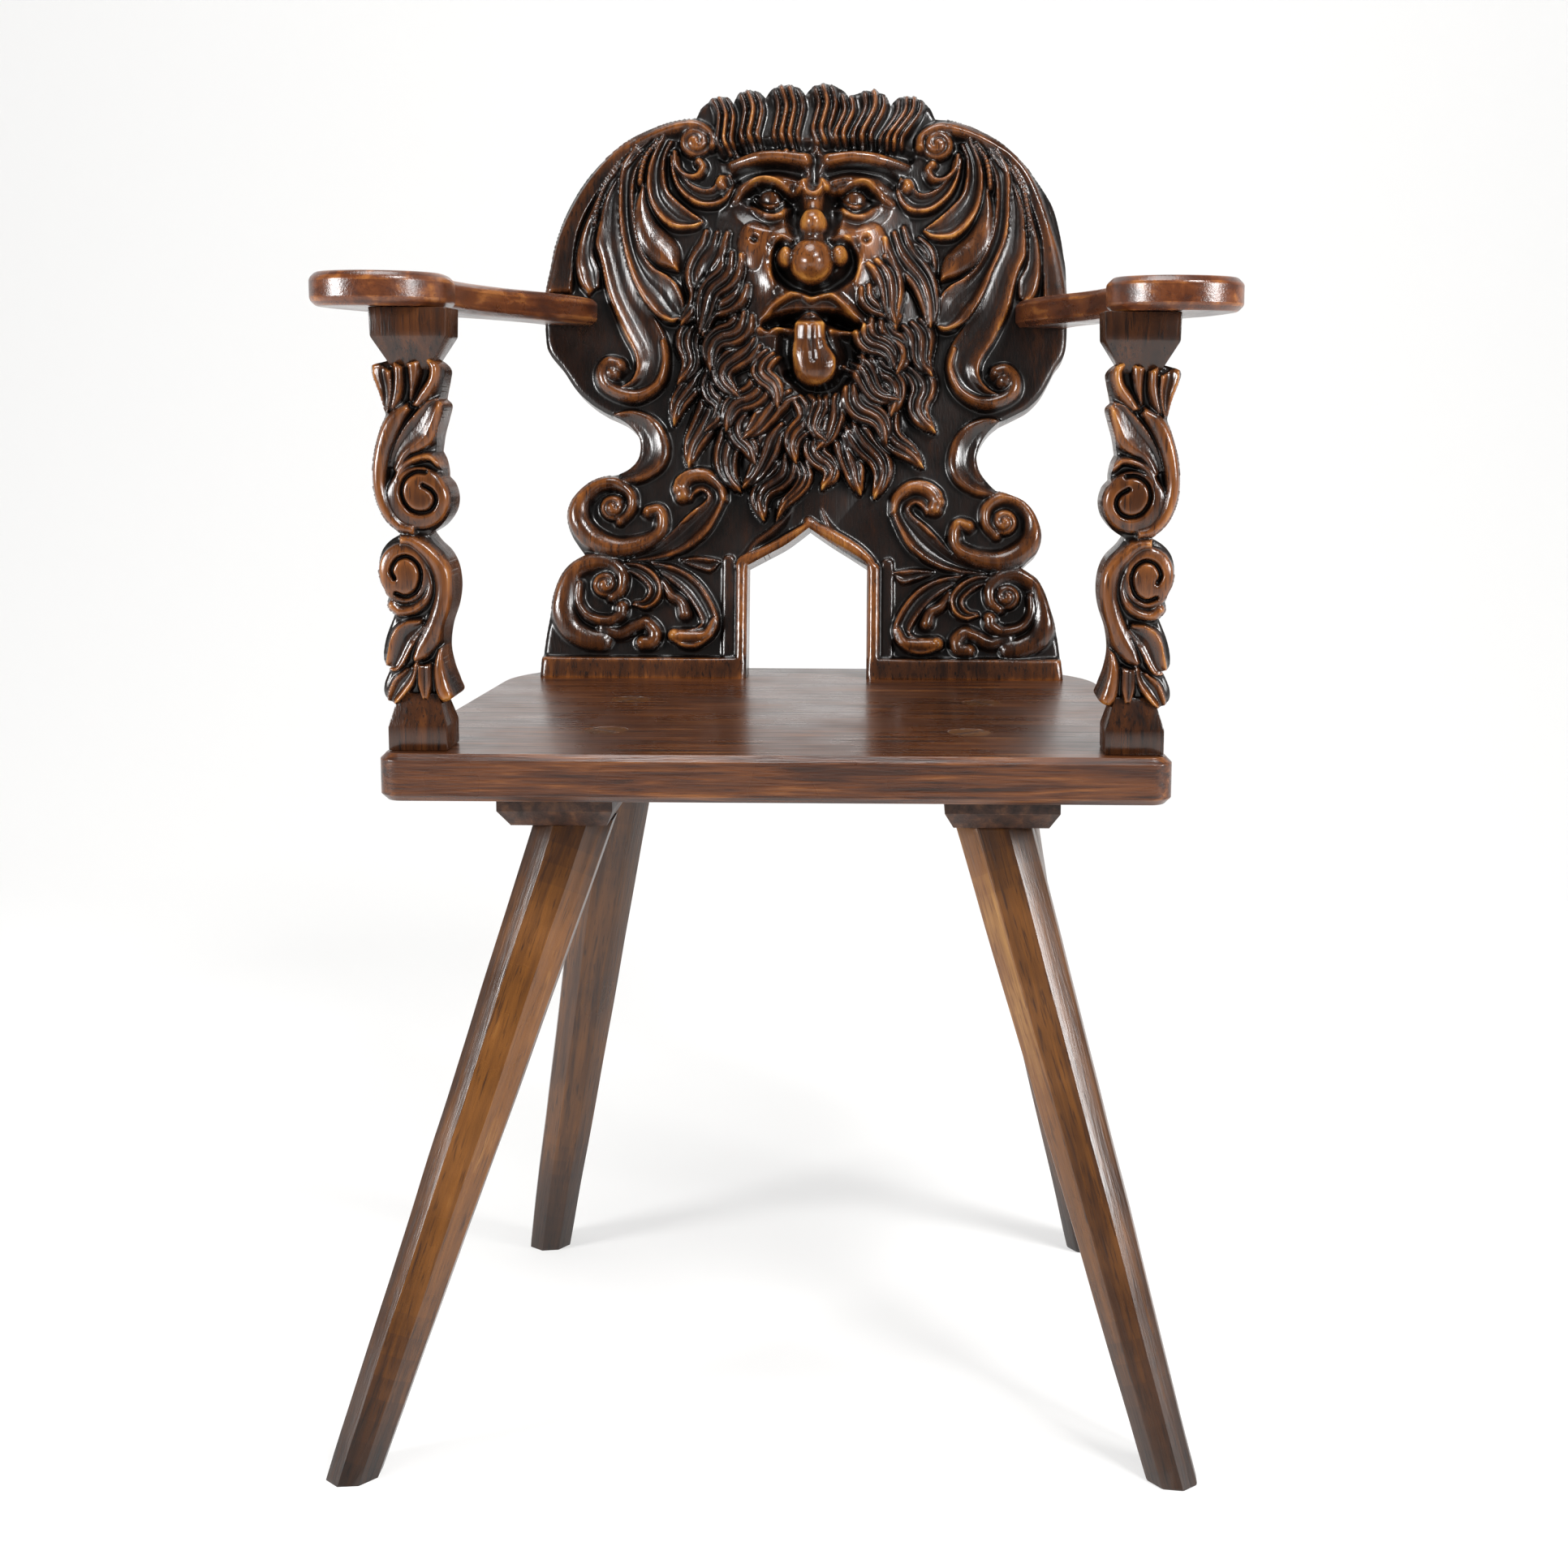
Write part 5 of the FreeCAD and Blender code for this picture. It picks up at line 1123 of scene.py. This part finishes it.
# Handled walnut: the wax has gone from the top and left a warm, even orange-brown
arm_walnut = walnut(
    "handled_arm_walnut", [(0.0, "#2a1209"), (0.4, "#43200e"), (0.7, "#5c3016"), (1.0, "#8a5529")],
    along=1, figure_mm=14, roughness=0.27, coat=0.15)
for side in ("left", "right"):
    fitted(softened(side + "_arm_rest", side + "_arm", 2.2), arm_walnut, "arm_walnut", side + "_arm")

# Arm pegs: whittled walnut pegs driven from behind through the board into the ends of the arms.
# Their end grain shows on the plain back of the board.
for side in ("left", "right"):
    fitted(softened(side + "_whittled_peg", side + "_arm_peg", 0.5), pin_walnut, "pin_walnut",
           side + "_arm_peg")

# Floor and light: a sweep of white paper that curves up behind the chair, a soft lamp high in front,
# one at each side and a wide one overhead, in a dim pale room
SWEEP_FRONT, SWEEP_BEND, SWEEP_RADIUS, SWEEP_TOP, SWEEP_HALF = -4.0, 1.2, 1.5, 5.0, 6.0
PAPER_GLOW = 0.6
profile = [(SWEEP_FRONT, 0.0), (SWEEP_BEND, 0.0)]
for bend in np.linspace(0, math.pi / 2, 17)[1:]:
    profile.append((SWEEP_BEND + SWEEP_RADIUS * math.sin(bend), SWEEP_RADIUS * (1 - math.cos(bend))))
profile.append((SWEEP_BEND + SWEEP_RADIUS, SWEEP_TOP))
verts = [(x, y, z) for y, z in profile for x in (-SWEEP_HALF, SWEEP_HALF)]
sweep = bpy.data.meshes.new("studio_sweep")
sweep.from_pydata(verts, [], [(2 * k, 2 * k + 1, 2 * k + 3, 2 * k + 2) for k in range(len(profile) - 1)])
sweep.shade_smooth()
# White paper: matt, and lit up a little for the eye and in reflections, so that it stays white
paper = bpy.data.materials.new("white_paper_sweep")
paper.use_nodes = True
tree = paper.node_tree
tree.nodes.clear()
matt = node(tree, "ShaderNodeBsdfDiffuse", {"Color": colour("#f2f1ef")}).outputs[0]
white = node(tree, "ShaderNodeEmission", {"Color": colour("#ffffff"), "Strength": 1.0}).outputs[0]
rays = node(tree, "ShaderNodeLightPath", {}).outputs
mirrored = node(tree, "ShaderNodeMath", {0: rays["Is Glossy Ray"], 1: rays["Is Transmission Ray"]}).outputs[0]
seen = node(tree, "ShaderNodeMath", {0: rays["Is Camera Ray"], 1: mirrored}, use_clamp=True).outputs[0]
share = node(tree, "ShaderNodeMath", {0: seen, 1: PAPER_GLOW}, operation="MULTIPLY").outputs[0]
washed = node(tree, "ShaderNodeMixShader", {0: share, 1: matt, 2: white}).outputs[0]
node(tree, "ShaderNodeOutputMaterial", {"Surface": washed})
sweep.materials.append(paper)
floor = linked("studio_sweep", sweep)
# Lamps: where each hangs and what it faces, in metres, its size in metres and its power in watts
LAMPS = {
    "key_lamp": ((1.1, -1.3, 2.5), (0, 0.1, 0.6), 0.6, 60),
    "left_lamp": ((-1.8, -1.0, 0.9), (0, 0.1, 0.6), 0.6, 48),
    "right_lamp": ((1.8, -1.0, 1.0), (0, 0.1, 0.6), 0.6, 38),
    "top_lamp": ((-0.3, 0.0, 3.0), (0, 0.2, 0.5), 1.2, 36),
}
for name, (place, target, size, power) in LAMPS.items():
    light = bpy.data.lights.new(name, "AREA")
    light.size = size
    light.energy = power
    holder = linked(name, light)
    holder.location = place
    holder.rotation_euler = (Vector(target) - Vector(place)).to_track_quat("-Z", "Y").to_euler()
world = bpy.data.worlds.new("pale_room")
world.use_nodes = True
room = world.node_tree.nodes["Background"].inputs
room["Color"].default_value = colour("#f4f4f4")
room["Strength"].default_value = 0.16
bpy.context.scene.world = world
bpy.context.scene.view_settings.view_transform = "Standard"

# Camera: a little right of the chair's middle and at the height of the arms. It looks slightly down and leans
# a little, both in degrees.
EYE_PLACE = (0.0789, FRONT_EDGE_MM / 1000 - 1.2544, 0.6687)
LOOKING_DOWN = 7.577
LEANING = 0.35
view = bpy.data.cameras.new("front_view")
view.sensor_width = 36.0
view.lens = 47.27
view.shift_x = -0.076
view.shift_y = -0.08
camera = linked("front_view", view)
tilted = Matrix.Rotation(math.radians(90 - LOOKING_DOWN), 4, "X")
leaned = Matrix.Rotation(math.radians(LEANING), 4, "Z")
camera.matrix_world = Matrix.Translation(EYE_PLACE) @ tilted @ leaned
bpy.context.scene.camera = camera
